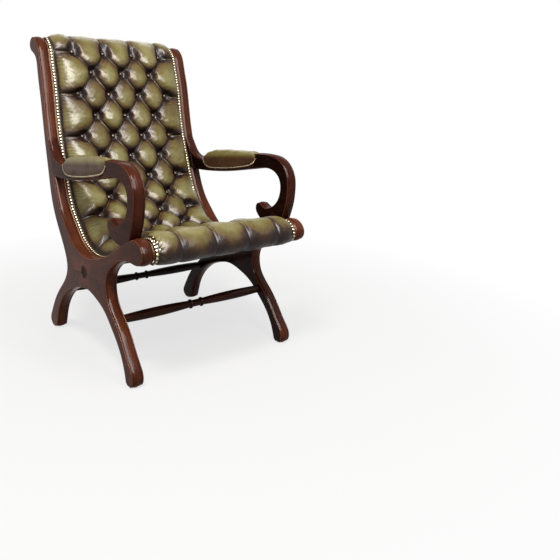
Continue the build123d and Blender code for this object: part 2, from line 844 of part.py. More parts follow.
# Leather cover: a buttoned solid, hollowed by the same shape one leather thickness lower
with BuildPart() as leather_inside:
    loft_buttoned(
        stations, leather_thickness, margin_half, -leather_thickness, 0,
        [(-margin_half, -leather_thickness), (-margin_half, -leather_thickness - cut_overrun),
         (margin_half, -leather_thickness - cut_overrun), (margin_half, -leather_thickness)],
    )
with BuildPart() as leather_cover:
    loft_buttoned(
        stations, 0, margin_half, 0, 0,
        [(-margin_half, 0), (-leather_half, 0), (-leather_half, -leather_thickness),
         (leather_half, -leather_thickness), (leather_half, 0), (margin_half, 0)],
    )
    add(leather_inside.part, mode=Mode.SUBTRACT)
save(leather_cover.part, "leather_cover")

# Foam under the leather
hem = foam_bottom + running_gap
with BuildPart() as foam_padding:
    loft_buttoned(
        stations[1:-1], leather_thickness + running_gap, foam_half, hem, hem_height,
        [(-foam_half, hem), (-foam_half, foam_bottom), (foam_half, foam_bottom), (foam_half, hem)],
    )
save(foam_padding.part, "foam_padding")


def button_plane(row, x):
    """Plane on the floor of a well, facing the sitter."""
    corners = []
    for distance in (row_distance(row) - pocket_radius, row_distance(row) + pocket_radius):
        well = read_off(distance, well_table)
        corners.append(sling_plane(distance).from_local_coords(Vector(x, well + running_gap, 0)))
    start, end = corners
    return Plane(origin=(start + end) / 2, x_dir=(1, 0, 0), z_dir=(end - start).cross(Vector(1, 0, 0)))


def button_columns(row):
    """Places across the chair of one row's buttons: four on an odd row, three on an even one."""
    count = 3 + row % 2
    return [(number - (count - 1) / 2) * column_pitch for number in range(count)]


# Leather-covered buttons in the wells
with BuildPart() as cover_buttons:
    for row in range(1, row_count + 1):
        with Locations(*[button_plane(row, x) for x in button_columns(row)]):
            dome(button_radius, button_height)
save(cover_buttons.part, "cover_buttons")


def edge_point(distance):
    """Point of the nailed edge, which runs straight from one section to the next."""
    for (low, *_), (high, *_) in zip(stations, stations[1:]):
        if distance <= high or high == stations[-1][0]:
            share = (distance - low) / (high - low)
            return sling_plane(low).origin * (1 - share) + sling_plane(high).origin * share


def nail_plane(distance):
    """Plane that touches the nailed edge under one nail and clears it on both sides."""
    start = edge_point(distance - nail_radius)
    end = edge_point(distance + nail_radius)
    normal = (end - start).cross(Vector(1, 0, 0)).normalized()
    heights = []
    for number in range(nail_samples + 1):
        point = edge_point(distance + nail_radius * (2 * number / nail_samples - 1))
        heights.append((point - start).dot(normal))
    middle = (start + end) / 2 + normal * (max(heights) + running_gap)
    nail_x = leather_half - nailing_margin / 2
    return Plane(origin=(-nail_x, middle.Y, middle.Z), x_dir=(1, 0, 0), z_dir=normal)


# Nails along the edge of the leather
first_nail = stations[0][0] + nail_radius
nail_count = int((stations[-1][0] - nail_radius - first_nail) / nail_pitch) + 1
with BuildPart() as trim_nails:
    with Locations(*[nail_plane(first_nail + number * nail_pitch) for number in range(nail_count)]):
        dome(nail_radius, nail_height)
save_pair(trim_nails.part, "trim_nails")
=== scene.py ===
"""Looks of the deep-buttoned X-frame slipper armchair, built around its packed construction model.

Everything is in metres and in the model's own frame: Z is up, the front of the chair faces -Y and
left means -X. Sizes that are easier to read in millimetres are multiplied by mm.
"""
import bmesh
import bpy
import math
import numpy as np
from mathutils import Matrix, Vector


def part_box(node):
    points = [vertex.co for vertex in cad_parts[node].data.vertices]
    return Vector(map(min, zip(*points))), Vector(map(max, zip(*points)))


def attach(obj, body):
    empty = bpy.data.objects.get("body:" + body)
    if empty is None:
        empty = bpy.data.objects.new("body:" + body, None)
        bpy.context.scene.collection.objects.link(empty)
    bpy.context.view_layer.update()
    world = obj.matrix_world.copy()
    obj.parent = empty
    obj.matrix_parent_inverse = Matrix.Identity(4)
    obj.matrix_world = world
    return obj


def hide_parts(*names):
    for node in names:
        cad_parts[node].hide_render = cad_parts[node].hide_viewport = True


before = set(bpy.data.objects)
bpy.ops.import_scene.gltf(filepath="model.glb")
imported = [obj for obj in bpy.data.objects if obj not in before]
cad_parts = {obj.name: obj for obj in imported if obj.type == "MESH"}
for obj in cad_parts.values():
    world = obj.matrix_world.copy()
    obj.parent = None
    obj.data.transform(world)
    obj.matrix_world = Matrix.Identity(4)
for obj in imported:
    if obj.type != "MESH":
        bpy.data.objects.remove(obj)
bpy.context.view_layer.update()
mm = 0.001
sides = ("left", "right")

# Sizes shared with the construction model
frame_depth = 820 * mm
frame_height = 995 * mm
half_width = 290 * mm
board_thickness = 37 * mm
inner_face = half_width - board_thickness
board_middle = half_width - board_thickness / 2
leather_half = inner_face - 3 * mm
leather_thickness = 2 * mm
nailing_margin = 11 * mm
margin_half = leather_half - nailing_margin
first_row_distance = 165 * mm
row_pitch = 76 * mm
row_count = 15
column_pitch = 115 * mm
nail_radius = 4.6 * mm
nail_height = 2.8 * mm
nail_pitch = 10.8 * mm
rosette_radius = 20 * mm
rosette_depth = 6 * mm

# Side view, as shares of the frame's depth and height
hub_share = (-0.049, 0.259)
rear_waist_share = (0.115, 0.238)
top_waist_share = (-0.071, 0.3075)
bottom_waist_share = (-0.073, 0.209)
front_waist_share = (-0.233, 0.257)
arm_joint_top_share = (0.302, 0.648)
arm_joint_bottom_share = (0.249, 0.533)
scroll_seat_rear_share = (-0.348, 0.393)
scroll_seat_front_share = (-0.409, 0.417)
sling_shares = [
    (0.461, 0.943), (0.490, 0.955), (0.500, 0.975), (0.488, 0.991), (0.463, 0.998), (0.437, 0.989),
    (0.410, 0.967), (0.388, 0.920), (0.366, 0.866), (0.337, 0.761), arm_joint_top_share,
    arm_joint_bottom_share, (0.222, 0.478), (0.184, 0.426), (0.123, 0.375), (0.057, 0.332),
    (-0.006, 0.313), top_waist_share, (-0.150, 0.320), (-0.234, 0.342), (-0.299, 0.370),
    scroll_seat_rear_share, scroll_seat_front_share, (-0.454, 0.4245), (-0.491, 0.407),
    (-0.500, 0.388), (-0.488, 0.367), (-0.454, 0.358),
]


def side(share):
    """A point (y, z) of the side view."""
    return np.array([frame_depth * share[0], frame_height * share[1]])


class SmoothLine:
    """Smooth cubic line through points, read by its length. Its first and last four set its ends."""

    samples_per_span = 40

    def __init__(self, points):
        points = np.array(points, float)
        spans = np.linalg.norm(np.diff(points, axis=0), axis=1)
        knots = np.concatenate([[0], np.cumsum(spans)])
        count = len(points)
        matrix = np.zeros((count, count))
        right = np.zeros_like(points)
        matrix[0, 0] = matrix[-1, -1] = 1
        right[0] = self.end_slope(knots[:4], points[:4], knots[0])
        right[-1] = self.end_slope(knots[-4:], points[-4:], knots[-1])
        for i in range(1, count - 1):
            before, after = spans[i - 1], spans[i]
            matrix[i, i - 1:i + 2] = 1 / before, 2 / before + 2 / after, 1 / after
            rise = (points[i] - points[i - 1]) / before ** 2 + (points[i + 1] - points[i]) / after ** 2
            right[i] = 3 * rise
        slopes = np.linalg.solve(matrix, right)
        t = np.linspace(0, 1, self.samples_per_span, endpoint=False)[:, None]
        pieces = []
        for i in range(count - 1):
            pieces.append(
                (1 + 2 * t) * (1 - t) ** 2 * points[i] + t * (1 - t) ** 2 * spans[i] * slopes[i]
                + t * t * (3 - 2 * t) * points[i + 1] + t * t * (t - 1) * spans[i] * slopes[i + 1]
            )
        self.points = np.vstack(pieces + [points[-1:]])
        steps = np.linalg.norm(np.diff(self.points, axis=0), axis=1)
        self.distances = np.concatenate([[0], np.cumsum(steps)])
        self.length = self.distances[-1]

    @staticmethod
    def end_slope(knots, points, at):
        cubics = [np.polyfit(knots - at, points[:, axis], 3) for axis in range(points.shape[1])]
        return np.array([cubic[-2] for cubic in cubics])

    def at(self, distance):
        columns = [np.interp(distance, self.distances, self.points[:, axis])
                   for axis in range(self.points.shape[1])]
        return np.stack(columns, axis=-1)

    def along(self, distance, reach=1.5 * mm):
        """Unit direction of travel at a distance."""
        step = self.at(distance + reach) - self.at(distance - reach)
        return step / np.linalg.norm(step, axis=-1, keepdims=True)


sling = SmoothLine([side(share) for share in sling_shares])


def sling_normal(distance):
    """Direction away from the frame's edge, as (y, z)."""
    along = sling.along(np.clip(distance, 2 * mm, sling.length - 2 * mm))
    return np.stack([along[..., 1], -along[..., 0]], axis=-1)


def sling_place(x, distance, height):
    """Points at a place across the chair, a distance along the sling and a height above its edge."""
    spots = sling.at(distance) + sling_normal(distance) * np.asarray(height)[..., None]
    return np.stack([np.broadcast_to(x, spots.shape[:-1]), spots[..., 0], spots[..., 1]], axis=-1)


# Mesh helpers
def linked(name, data):
    """A new object in the scene."""
    item = bpy.data.objects.new(name, data)
    bpy.context.scene.collection.objects.link(item)
    return item


def new_object(name, points, faces, smooth=True, material=None):
    mesh = bpy.data.meshes.new(name)
    mesh.from_pydata([tuple(p) for p in points], [], [tuple(f) for f in faces])
    mesh.update()
    if smooth:
        mesh.polygons.foreach_set("use_smooth", [True] * len(mesh.polygons))
    if material:
        mesh.materials.append(material)
    return linked(name, mesh)


def set_attribute(piece, name, values):
    attribute = piece.data.attributes.new(name, "FLOAT", "POINT")
    attribute.data.foreach_set("value", np.asarray(values, np.float32).ravel())


def mirrored(piece, name):
    """A copy of a left piece on the right."""
    mesh = piece.data.copy()
    mesh.transform(Matrix.Scale(-1, 4, (1, 0, 0)))
    mesh.flip_normals()
    return linked(name, mesh)


def face_outward(piece, weld=None):
    """Turns the faces of a closed piece outward, once points within a distance are welded."""
    shape = bmesh.new()
    shape.from_mesh(piece.data)
    if weld:
        bmesh.ops.remove_doubles(shape, verts=shape.verts, dist=weld)
    bmesh.ops.recalc_face_normals(shape, faces=shape.faces)
    shape.to_mesh(piece.data)
    shape.free()
    return piece


def grid_faces(rows, columns, closed=False):
    """Quads of a grid of points, whose rows may be closed rings."""
    i, j = np.meshgrid(np.arange(rows - 1), np.arange(columns if closed else columns - 1), indexing="ij")
    row, next_row, next_j = i * columns, (i + 1) * columns, (j + 1) % columns
    return np.stack([row + j, row + next_j, next_row + next_j, next_row + j], axis=-1).reshape(-1, 4)


def tube_faces(rings, turns):
    """Faces of a closed form of stacked rings of points, with a cap at each end."""
    last = (rings - 1) * turns
    return [*grid_faces(rings, turns, closed=True), range(turns)[::-1], range(last, last + turns)]


def smoothed(values, taps):
    """A row of values, each averaged with its neighbours by the weights in taps."""
    return np.convolve(np.pad(values, len(taps) // 2, mode="edge"), taps / taps.sum(), mode="valid")


def blurred(field, reach):
    """Gaussian blur of a grid, with a reach in cells."""
    taps = np.exp(-np.arange(-int(3 * reach), int(3 * reach) + 1) ** 2 / (2 * reach ** 2))
    for axis in (0, 1):
        field = np.apply_along_axis(smoothed, axis, field, taps)
    return field


def unit(value):
    """The value, held between 0 and 1."""
    return np.clip(value, 0, 1)


def smooth_step(low, high, value):
    t = unit((value - low) / (high - low))
    return t * t * (3 - 2 * t)


def bell(distance, reach):
    """1 at no distance, and next to nothing at twice the reach."""
    return np.exp(-(distance / reach) ** 2)


def waves(x, y, seed, low, high, count=14):
    """Smooth irregular field of about -1 to 1, with wavelengths between low and high."""
    draw = np.random.default_rng(seed)
    total = np.zeros(np.broadcast(x, y).shape)
    for _ in range(count):
        angle = draw.uniform(0, math.pi)
        wave = math.tau / draw.uniform(low, high)
        phase = draw.uniform(0, math.tau)
        total = total + np.sin(wave * (x * math.cos(angle) + y * math.sin(angle)) + phase)
    usual_peak = 1.6
    return total / math.sqrt(count / 2) / usual_peak


# Materials
class Finish:
    """A node material with one Principled shader, and short calls to wire its colour and surface."""

    def __init__(self, name, **values):
        self.material = bpy.data.materials.new(name)
        self.material.use_nodes = True
        self.tree = self.material.node_tree
        self.tree.nodes.clear()
        self.output = self.tree.nodes.new("ShaderNodeOutputMaterial")
        self.shader = self.tree.nodes.new("ShaderNodeBsdfPrincipled")
        self.wire(self.shader.outputs[0], self.output.inputs["Surface"])
        for socket, value in values.items():
            self.shader.inputs[socket.replace("_", " ")].default_value = value
        self.place = self.tree.nodes.new("ShaderNodeTexCoord").outputs["Object"]

    def wire(self, source, target):
        if hasattr(source, "is_output"):
            self.tree.links.new(source, target)
        else:
            target.default_value = source

    def add(self, kind, sockets=(), **settings):
        node = self.tree.nodes.new(kind)
        for name, value in settings.items():
            setattr(node, name, value)
        for name, value in dict(sockets).items():
            self.wire(value, node.inputs[name])
        return node

    def stretched(self, scale, turn=(0, 0, 0)):
        """Place in the frame, turned and then scaled by axis."""
        turned = self.add("ShaderNodeMapping", {"Vector": self.place, "Rotation": turn})
        return self.add("ShaderNodeMapping", {"Vector": turned.outputs[0], "Scale": scale}).outputs[0]

    def noise(self, scale, detail, roughness=0.55, distortion=0, place=None):
        sockets = {"Vector": place or self.place, "Scale": scale, "Detail": detail,
                   "Roughness": roughness, "Distortion": distortion}
        return self.add("ShaderNodeTexNoise", sockets).outputs["Fac"]

    def cells(self, scale):
        sockets = {"Vector": self.place, "Scale": scale}
        return self.add("ShaderNodeTexVoronoi", sockets, feature="DISTANCE_TO_EDGE").outputs["Distance"]

    def threads(self, pitch, direction, place):
        """Bands across an axis. The wave texture turns through 20 radians in one unit."""
        sockets = {"Vector": place, "Scale": math.tau / 20 / pitch}
        return self.add("ShaderNodeTexWave", sockets, bands_direction=direction).outputs["Fac"]

    def math(self, operation, a, b, clamp=False):
        return self.add("ShaderNodeMath", {0: a, 1: b}, operation=operation, use_clamp=clamp).outputs[0]

    def total(self, first, *others, clamp=False):
        """Sum of some values, held between 0 and 1 where clamp says so."""
        for number, value in enumerate(others, 1):
            first = self.math("ADD", first, value, clamp and number == len(others))
        return first

    def spread(self, value, low, high, to_low, to_high):
        sockets = {"Value": value, "From Min": low, "From Max": high, "To Min": to_low, "To Max": to_high}
        return self.add("ShaderNodeMapRange", sockets).outputs[0]

    def vary(self, noise, low, high):
        """A noise, which seldom leaves 0.3 to 0.7, spread from low to high."""
        return self.spread(noise, 0.3, 0.7, low, high)

    def attribute(self, name):
        return self.add("ShaderNodeAttribute", attribute_name=name).outputs["Fac"]

    def ramp(self, value, stops):
        node = self.add("ShaderNodeValToRGB", {"Fac": value})
        elements = node.color_ramp.elements
        while len(elements) < len(stops):
            elements.new(1)
        for element, (position, colour) in zip(elements, stops):
            element.position = position
            element.color = (*colour, 1)
        return node.outputs["Color"]

    def mix(self, share, a, b):
        node = self.add("ShaderNodeMix", {0: share}, data_type="RGBA")
        for socket, value in ((node.inputs[6], a), (node.inputs[7], b)):
            self.wire(value if hasattr(value, "is_output") else (*value, 1), socket)
        return node.outputs[2]

    def bump(self, height, strength, distance, normal=None):
        sockets = {"Height": height, "Strength": strength, "Distance": distance}
        if normal:
            sockets["Normal"] = normal
        return self.add("ShaderNodeBump", sockets).outputs[0]

    def surface(self, colour, roughness=None, normal=None):
        for socket, value in (("Base Color", colour), ("Roughness", roughness), ("Normal", normal)):
            if value is not None:
                self.wire(value, self.shader.inputs[socket])
        return self.material


def scaled(colour, share):
    return [share * channel for channel in colour]


leather_gloss = {"Specular_IOR_Level": 0.09, "Coat_Weight": 0.24, "Coat_Roughness": 0.3}
wood_gloss = {"Specular_IOR_Level": 0.03, "Coat_Weight": 0.07, "Coat_Roughness": 0.1}


def make_leather(name, stops, crown_rough=0.27, fold_rough=0.5, grain=1.0, **gloss):
    """Antique hide. Its colour follows a point attribute from 0 in a fold to 1 on a crown, which holds
    rubbed wear and dark antiquing together with painted shade and painted highlight.
    """
    finish = Finish(name, **(leather_gloss | gloss))
    clouds = finish.noise(14, 5, 0.6)
    stains = finish.noise(46, 4, 0.62, 0.6)
    specks = finish.noise(260, 3, 0.7)
    tone = finish.total(finish.attribute("rub_and_shade"), finish.vary(clouds, -0.1, 0.1),
                        finish.vary(stains, -0.09, 0.09), finish.vary(specks, -0.05, 0.05), clamp=True)
    rough = finish.spread(tone, 0, 1, fold_rough, crown_rough)
    rough = finish.total(rough, finish.vary(specks, -0.05, 0.07))
    creases, pebbles, pores = finish.noise(95, 6, 0.68, 1.2), finish.cells(620), finish.noise(1500, 2, 0.6)
    relief = None
    for height, strength, depth in ((creases, 0.22, 1.2), (pebbles, 0.34, 0.35), (pores, 0.12, 0.2)):
        relief = finish.bump(height, strength * grain, depth * mm, relief)
    return finish.surface(finish.ramp(tone, stops), rough, relief)


def make_wood(name, angle, dark, middle, light, rough=0.2, turned=False, **gloss):
    """Polished mahogany with its grain along a direction of the side view, or across the chair."""
    finish = Finish(name, **(wood_gloss | gloss))
    along, pores_along = (
        finish.stretched((length, 1, 1) if turned else (1, length, 1), (-angle, 0, 0))
        for length in (0.07, 0.035)
    )
    figure = finish.noise(70, 6, 0.6, 1.4, along)
    bands = finish.noise(22, 3, 0.5, 0.5, along)
    pores = finish.noise(900, 2, 0.5, 0, pores_along)
    clouds = finish.noise(6, 3, 0.5)
    tone = finish.total(finish.vary(figure, 0.15, 0.7), finish.vary(bands, -0.2, 0.2),
                        finish.vary(clouds, -0.18, 0.18), clamp=True)
    colour = finish.ramp(tone, [(0, dark), (0.5, middle), (1, light)])
    colour = finish.mix(finish.spread(pores, 0.52, 0.7, 0, 0.45), colour, dark)
    # Lighter on the beads and crowns of the mouldings: partly edge wear, partly painted highlight
    worn_and_highlit = finish.math("MULTIPLY", finish.attribute("wear_and_highlight"), finish.vary(clouds, 0.45, 0.95))
    colour = finish.mix(worn_and_highlit, colour, scaled(light, 1.6))
    # Darker in the grooves of the mouldings: partly dirt, partly painted shade
    soiled_and_shaded = finish.math("MULTIPLY", finish.attribute("soil"), 0.8)
    colour = finish.mix(soiled_and_shaded, colour, scaled(dark, 0.3))
    roughness = finish.total(rough, finish.vary(finish.noise(34, 5, 0.65), -0.05, 0.12))
    relief = finish.bump(pores, 0.1, 0.15 * mm)
    relief = finish.bump(finish.noise(18, 3, 0.5), 0.1, 1.2 * mm, relief)
    return finish.surface(colour, roughness, relief)


def make_metal(name, colour, tarnish, rough):
    finish = Finish(name, Metallic=1.0, Specular_IOR_Level=0.5)
    spots = finish.noise(420, 4, 0.65)
    clouds = finish.noise(60, 3, 0.6)
    blend = finish.total(finish.spread(spots, 0.42, 0.68, 0, 0.55), finish.vary(clouds, -0.1, 0.35),
                         clamp=True)
    colour = finish.mix(blend, colour, tarnish)
    # Darker over the lower part of each nail head: partly tarnish at the rim, partly painted shade
    colour = finish.mix(finish.attribute("soil"), colour, scaled(tarnish, 0.12))
    roughness = finish.spread(blend, 0, 1, rough, rough + 0.25)
    return finish.surface(colour, roughness, finish.bump(spots, 0.15, 0.15 * mm))


def make_woven(name, colour, thread, pitch):
    """Plain weave: two sets of threads that cross each other."""
    finish = Finish(name, Specular_IOR_Level=0.2, Roughness=0.9, Sheen_Weight=0.15)
    slanted = finish.stretched((1, 1, 1), (math.pi / 4, 0, 0))
    across, down = finish.threads(pitch, "X", finish.place), finish.threads(pitch, "Z", slanted)
    weave = finish.math("MAXIMUM", across, down)
    slubs = finish.noise(300, 3, 0.6)
    tone = finish.math("MULTIPLY", weave, finish.vary(slubs, 0.7, 1.1), clamp=True)
    return finish.surface(finish.mix(tone, thread, colour), finish.vary(slubs, 0.8, 0.98),
                          finish.bump(weave, 0.5, 0.3 * mm))


def make_beech():
    finish = Finish("beech", Specular_IOR_Level=0.35)
    flecks = finish.noise(300, 3, 0.6, 0, finish.stretched((1, 1, 0.1)))
    grain = finish.noise(45, 5, 0.6, 0.8, finish.stretched((0.1, 1, 1)))
    tone = finish.total(finish.vary(grain, 0, 0.8), finish.spread(flecks, 0.4, 0.7, 0, 0.3))
    colour = finish.ramp(tone, [(0, (0.36, 0.23, 0.12)), (1, (0.58, 0.42, 0.25))])
    return finish.surface(colour, finish.vary(grain, 0.5, 0.7), finish.bump(grain, 0.1, 0.3 * mm))


def member_angle(start_share, end_share):
    along = side(end_share) - side(start_share)
    return math.atan2(along[1], along[0])


mahogany = ((0.012, 0.003, 0.001), (0.046, 0.011, 0.005), (0.106, 0.028, 0.011))
dark_mahogany = ((0.007, 0.002, 0.001), (0.026, 0.006, 0.003), (0.060, 0.015, 0.007))
grain_ends = {
    "back_stile": (0.44, 0.96), "seat_rail": (-0.48, 0.39), "front_leg": (-0.41, 0.01),
    "rear_leg": (0.26, 0.01),
}
wood_of = {
    member: make_wood(f"mahogany_{member}", member_angle(hub_share, end), *mahogany)
    for member, end in grain_ends.items()
}
wood_of["arm"] = make_wood("mahogany_arm", member_angle((0.3, 0.59), (-0.3, 0.6)), *dark_mahogany,
                           Specular_IOR_Level=0.02, Coat_Weight=0.06)
turned_wood = make_wood("mahogany_turned", 0, *dark_mahogany, turned=True)
rosette_wood = make_wood("mahogany_rosette", 0, *dark_mahogany)
hide_stops = [
    (0.0, (0.008, 0.002, 0.001)), (0.30, (0.024, 0.010, 0.003)), (0.52, (0.078, 0.046, 0.014)),
    (0.76, (0.108, 0.086, 0.024)), (1.0, (0.168, 0.146, 0.058)),
]
hide = make_leather("green_hide", hide_stops)
pad_stops = [hide_stops[0], (0.30, (0.050, 0.021, 0.008)), *hide_stops[2:]]
pad_hide = make_leather("arm_pad_hide", pad_stops, Specular_IOR_Level=0.12, Coat_Weight=0.12)
button_hide = make_leather("button_hide", hide_stops, crown_rough=0.2, grain=0.5, Coat_Weight=0.3,
                           Coat_Roughness=0.12)
back_hide = make_leather("outside_back_hide", hide_stops, crown_rough=0.36, Specular_IOR_Level=0.12,
                         Coat_Weight=0.05)
nail_metal = make_metal("nail_brass", (0.46, 0.39, 0.27), (0.34, 0.26, 0.16), 0.24)
glide_metal = make_metal("glide_brass", (0.42, 0.31, 0.15), (0.14, 0.10, 0.06), 0.4)
steel = make_metal("screw_steel", (0.55, 0.55, 0.56), (0.30, 0.28, 0.26), 0.35)
beech = make_beech()
jute = make_woven("jute_webbing", (0.42, 0.33, 0.20), (0.22, 0.16, 0.09), 1.51 * mm)
hessian = make_woven("hessian", (0.40, 0.31, 0.19), (0.20, 0.15, 0.09), 0.817 * mm)
dust_cloth = make_woven("dust_cloth", (0.030, 0.030, 0.032), (0.012, 0.012, 0.013), 0.44 * mm)

# Heights of the buttoned leather by row number, in millimetres
crown_rows = [
    (-1, 3), (-0.6, 15), (0.1, 17), (0.5, 24), (0.9, 36), (1.4, 45), (7, 45), (10, 58), (13, 58), (14, 48),
    (15, 30), (15.6, 17), (16.8, 15), (17.4, 3),
]
well_rows = [
    (-1, 1.8), (-0.6, 8), (0.3, 8), (1, 6), (2, 13), (7, 13), (10, 25), (13, 25), (14, 17), (15, 7),
    (15.7, 8), (16.8, 9), (17.4, 1.8),
]
droop_rows = [(0, 0.3), (1, 0.8), (2, 1), (8, 1), (10, 0), (15, 0)]
hide_step = 1.45 * mm
hide_start = 3 * mm
hide_end_gap = 3 * mm
valley_share = 0.34
dome_power = 0.66
skew = 0.34
lean_share = 0.24
side_turn = 0.42
tuck_middle = 3.6 * mm
tuck_half = 2.7 * mm
tuck_height = 2.6 * mm
groove_depth = 1.6 * mm
pleat_distance = 1 / math.hypot(2 / column_pitch, 1 / row_pitch)
lumpiness = 0.06
crest_hollow_share = 0.62
crest_gather = 10 * mm
front_gather = 18 * mm
side_pillow_rows = 0.9
pleat_fade_rows = (15.9, 16.7)
low_front_rows = (16.1, 16.9)


def row_number(distance):
    return 1 + (distance - first_row_distance) / row_pitch


def row_distance(row):
    return first_row_distance + (row - 1) * row_pitch


def by_row(distance, rows):
    """Reads a table by row number and smooths it along the sling."""
    fine = np.arange(-2, 19, 0.02)
    taps = np.exp(-np.linspace(-2.5, 2.5, 41) ** 2 / 2)
    return np.interp(row_number(distance), fine, smoothed(np.interp(fine, *zip(*rows)), taps))


def tuck(from_fold):
    """Section of a folded tuck: its ridge, and the grooves on both sides of it."""
    ridge = unit(1 - ((from_fold - tuck_middle) / tuck_half) ** 2) ** 0.6
    return ridge, bell(from_fold - 2 * tuck_middle, 1.4 * mm) + bell(from_fold, 1.8 * mm)


def hide_heights(x, distance):
    """The leather at some places: its height above the nailed edge, its lean, and its tone for the colour,
    which holds rubbed wear with painted shade and painted highlight.
    """
    u = 2 * x / column_pitch
    v = row_number(distance) - 1
    last = row_count - 1
    crown = by_row(distance, crown_rows) * mm
    well = by_row(distance, well_rows) * mm
    swell = crown - well
    droop = by_row(distance, droop_rows)
    beyond = np.clip(-v, 0, None) + np.clip(v - last, 0, None)
    inside = beyond == 0

    # Diamonds between the buttons, drawn out to strips past the first and last rows
    strip = u - 2 * np.round(u / 2)
    rising, falling = np.round((u + v) / 2), np.round((u - v) / 2)
    a = np.where(inside, u + v - 2 * rising, strip)
    b = np.where(inside, u - v - 2 * falling, strip)
    uphill = np.where(inside, a - b, 0) / 2
    cell_u = np.where(inside, rising + falling, 2 * np.round(u / 2))
    cell_v = np.where(inside, rising - falling, np.where(v < 0, 0, last))
    plump = 1 + lumpiness * np.sin(12.9898 * cell_u + 78.233 * cell_v)
    dome = unit((1 - a * a) * (1 - b * b)) ** (dome_power * (1 - 0.5 * unit(2 * beyond)))
    floor = well + valley_share * swell * (1 - a * a * b * b)
    middle = floor + (crown * plump - floor) * dome * (1 + skew * droop * uphill)

    # Pillows at the sides, from one horizontal pleat to the next
    side_v = np.where(inside, v - (2 * np.floor(v / 2) + 1), -1 + unit(beyond / side_pillow_rows))
    slant = np.sqrt(side_v ** 2 + 0.02 ** 2)
    edge_u = 2 * margin_half / column_pitch
    start_u = np.where(inside, 2 + unit(slant), 3)
    outside = np.abs(u) > start_u
    t = unit((np.abs(u) - start_u) / (edge_u - start_u))
    pillow_number = np.clip(np.floor(v / 2), 0, last / 2 - 1)
    side_plump = 1 + lumpiness * np.sin(31.7 * np.sign(u) + 17.3 * pillow_number)
    floor = well + valley_share * swell * 4 * unit(slant * (1 - slant)) * (1 - t) ** 2
    rise = np.sqrt(unit(1 - (1 - unit(t / side_turn)) ** 2))
    side_dome = unit(1 - side_v ** 2) ** 0.5 * rise
    pillow = floor + (crown * side_plump - floor) * side_dome * (1 + 0.5 * skew * droop * side_v)
    fall = (1 - unit((t - side_turn) / (1 - side_turn)) ** 2.2) ** 0.75
    dome = np.where(outside, side_dome, dome)
    height = np.where(outside, pillow * fall, middle)

    # Tucks on the diamonds' upper right edges, fainter on their upper left ones, and under side pleats
    ridges = grooves = 0
    for from_fold, taper in (
        ((1 - b) * pleat_distance, np.sqrt(unit(1 - a * a)) * (inside & ~outside)),
        ((1 + a) * pleat_distance, 0.35 * np.sqrt(unit(1 - b * b)) * (inside & ~outside)),
        ((1 + side_v) * row_pitch, unit(5 * t) * smooth_step(0, 0.15, 1 - t) * (inside & outside)),
    ):
        ridge, groove = tuck(from_fold)
        ridges, grooves = np.maximum(ridges, ridge * taper), np.maximum(grooves, groove * taper)

    # Straight pleats over the crest and the front edge, with fine wrinkles beside them
    from_pleat = (1 - np.abs(strip)) * column_pitch / 2
    ridge, groove = tuck(from_pleat)
    fade = 1 - 0.85 * smooth_step(*pleat_fade_rows, row_number(distance))
    taper = smooth_step(0, 0.35, beyond) * ~outside * fade
    wrinkle = 0.5 + 0.5 * np.cos(math.tau * from_pleat / (5.4 * mm) + 1.5 * np.sign(strip))
    wrinkle = wrinkle * bell(from_pleat, np.where(v < 0, crest_gather, front_gather))
    ridges = np.maximum(ridges, np.maximum(0.6 * ridge, wrinkle) * taper)
    grooves = np.maximum(grooves, 0.8 * groove * taper)
    height = height + tuck_height * ridges - groove_depth * grooves

    # Gathers where the side pillows are nailed down
    uneven = 0.6 + 0.6 * waves(x, distance, 6, 50 * mm, 120 * mm)
    near_edge = smooth_step(0.68, 0.95, t) * outside * uneven
    gathers = np.sin(math.tau * distance / (13 * mm) + 4 * waves(x, distance, 5, 60 * mm, 160 * mm))
    height = height + near_edge * np.sqrt(fall) * 1.5 * mm * gathers

    # Pull of each button on the leather round it
    row = np.clip(np.round(v), 0, last)
    odd = np.mod(row, 2)
    column = np.where(odd == 1, 2 * np.round(u / 2), 2 * np.round((u - 1) / 2) + 1)
    column = np.clip(column, -3 + odd, 3 - odd)
    across, along = (u - column) * column_pitch / 2, (v - row) * row_pitch
    away = np.hypot(across, along * np.where(v < 0, crest_hollow_share, 1))
    turn = np.arctan2(along, across)
    pull = smooth_step(5 * mm, 27 * mm, away)
    height = well + (height - well) * np.where(np.abs(u) > edge_u, 1, pull)
    radial = np.cos(9 * turn + 1.7 * column + row) * bell(away - 15 * mm, 8 * mm)
    height = height + 1.1 * mm * radial * smooth_step(8 * mm, 12 * mm, away) * (t < 0.8)

    # Slack of old leather, which its colour doesn't follow
    full = np.where(outside, height / np.clip(fall, 0.3, 1), height)
    depth = np.clip((full - well) / np.maximum(swell, 4 * mm), 0, 1.1)
    slack = 1.2 * mm * waves(x, distance, 1, 45 * mm, 130 * mm)
    slack = slack + 0.3 * mm * waves(x, distance, 2, 11 * mm, 26 * mm)
    height = height + slack * smooth_step(0, 12 * mm, away) * unit(dome + 0.3)
    margin = 1 - smooth_step(margin_half - 3 * mm, margin_half + 1 * mm, np.abs(x))
    height = np.clip(height, 0, None) * margin
    lean = lean_share * droop * np.clip(height - well, 0, None) * margin

    # Tone for the colour: rubbed crowns, with painted highlight on the ridges and painted shade round the
    # buttons, under the crowns and in folds
    dark = bell(np.hypot(across, along + 9 * mm * droop), 29 * mm) * (np.abs(u) < edge_u)
    under = smooth_step(0.25, 1, np.where(outside, 0.8 * side_v, uphill)) * droop
    low_front = smooth_step(*low_front_rows, row_number(distance))
    # Lighter with height, from dark antiquing in the wells to rubbed crowns, with painted shade on the
    # flanks; painted shade round and above the buttons, under drooping crowns and on the lower front roll
    rub_and_shade = 0.04 + 0.88 * depth ** 1.7 - 0.40 * dark - 0.30 * under - 0.8 * low_front
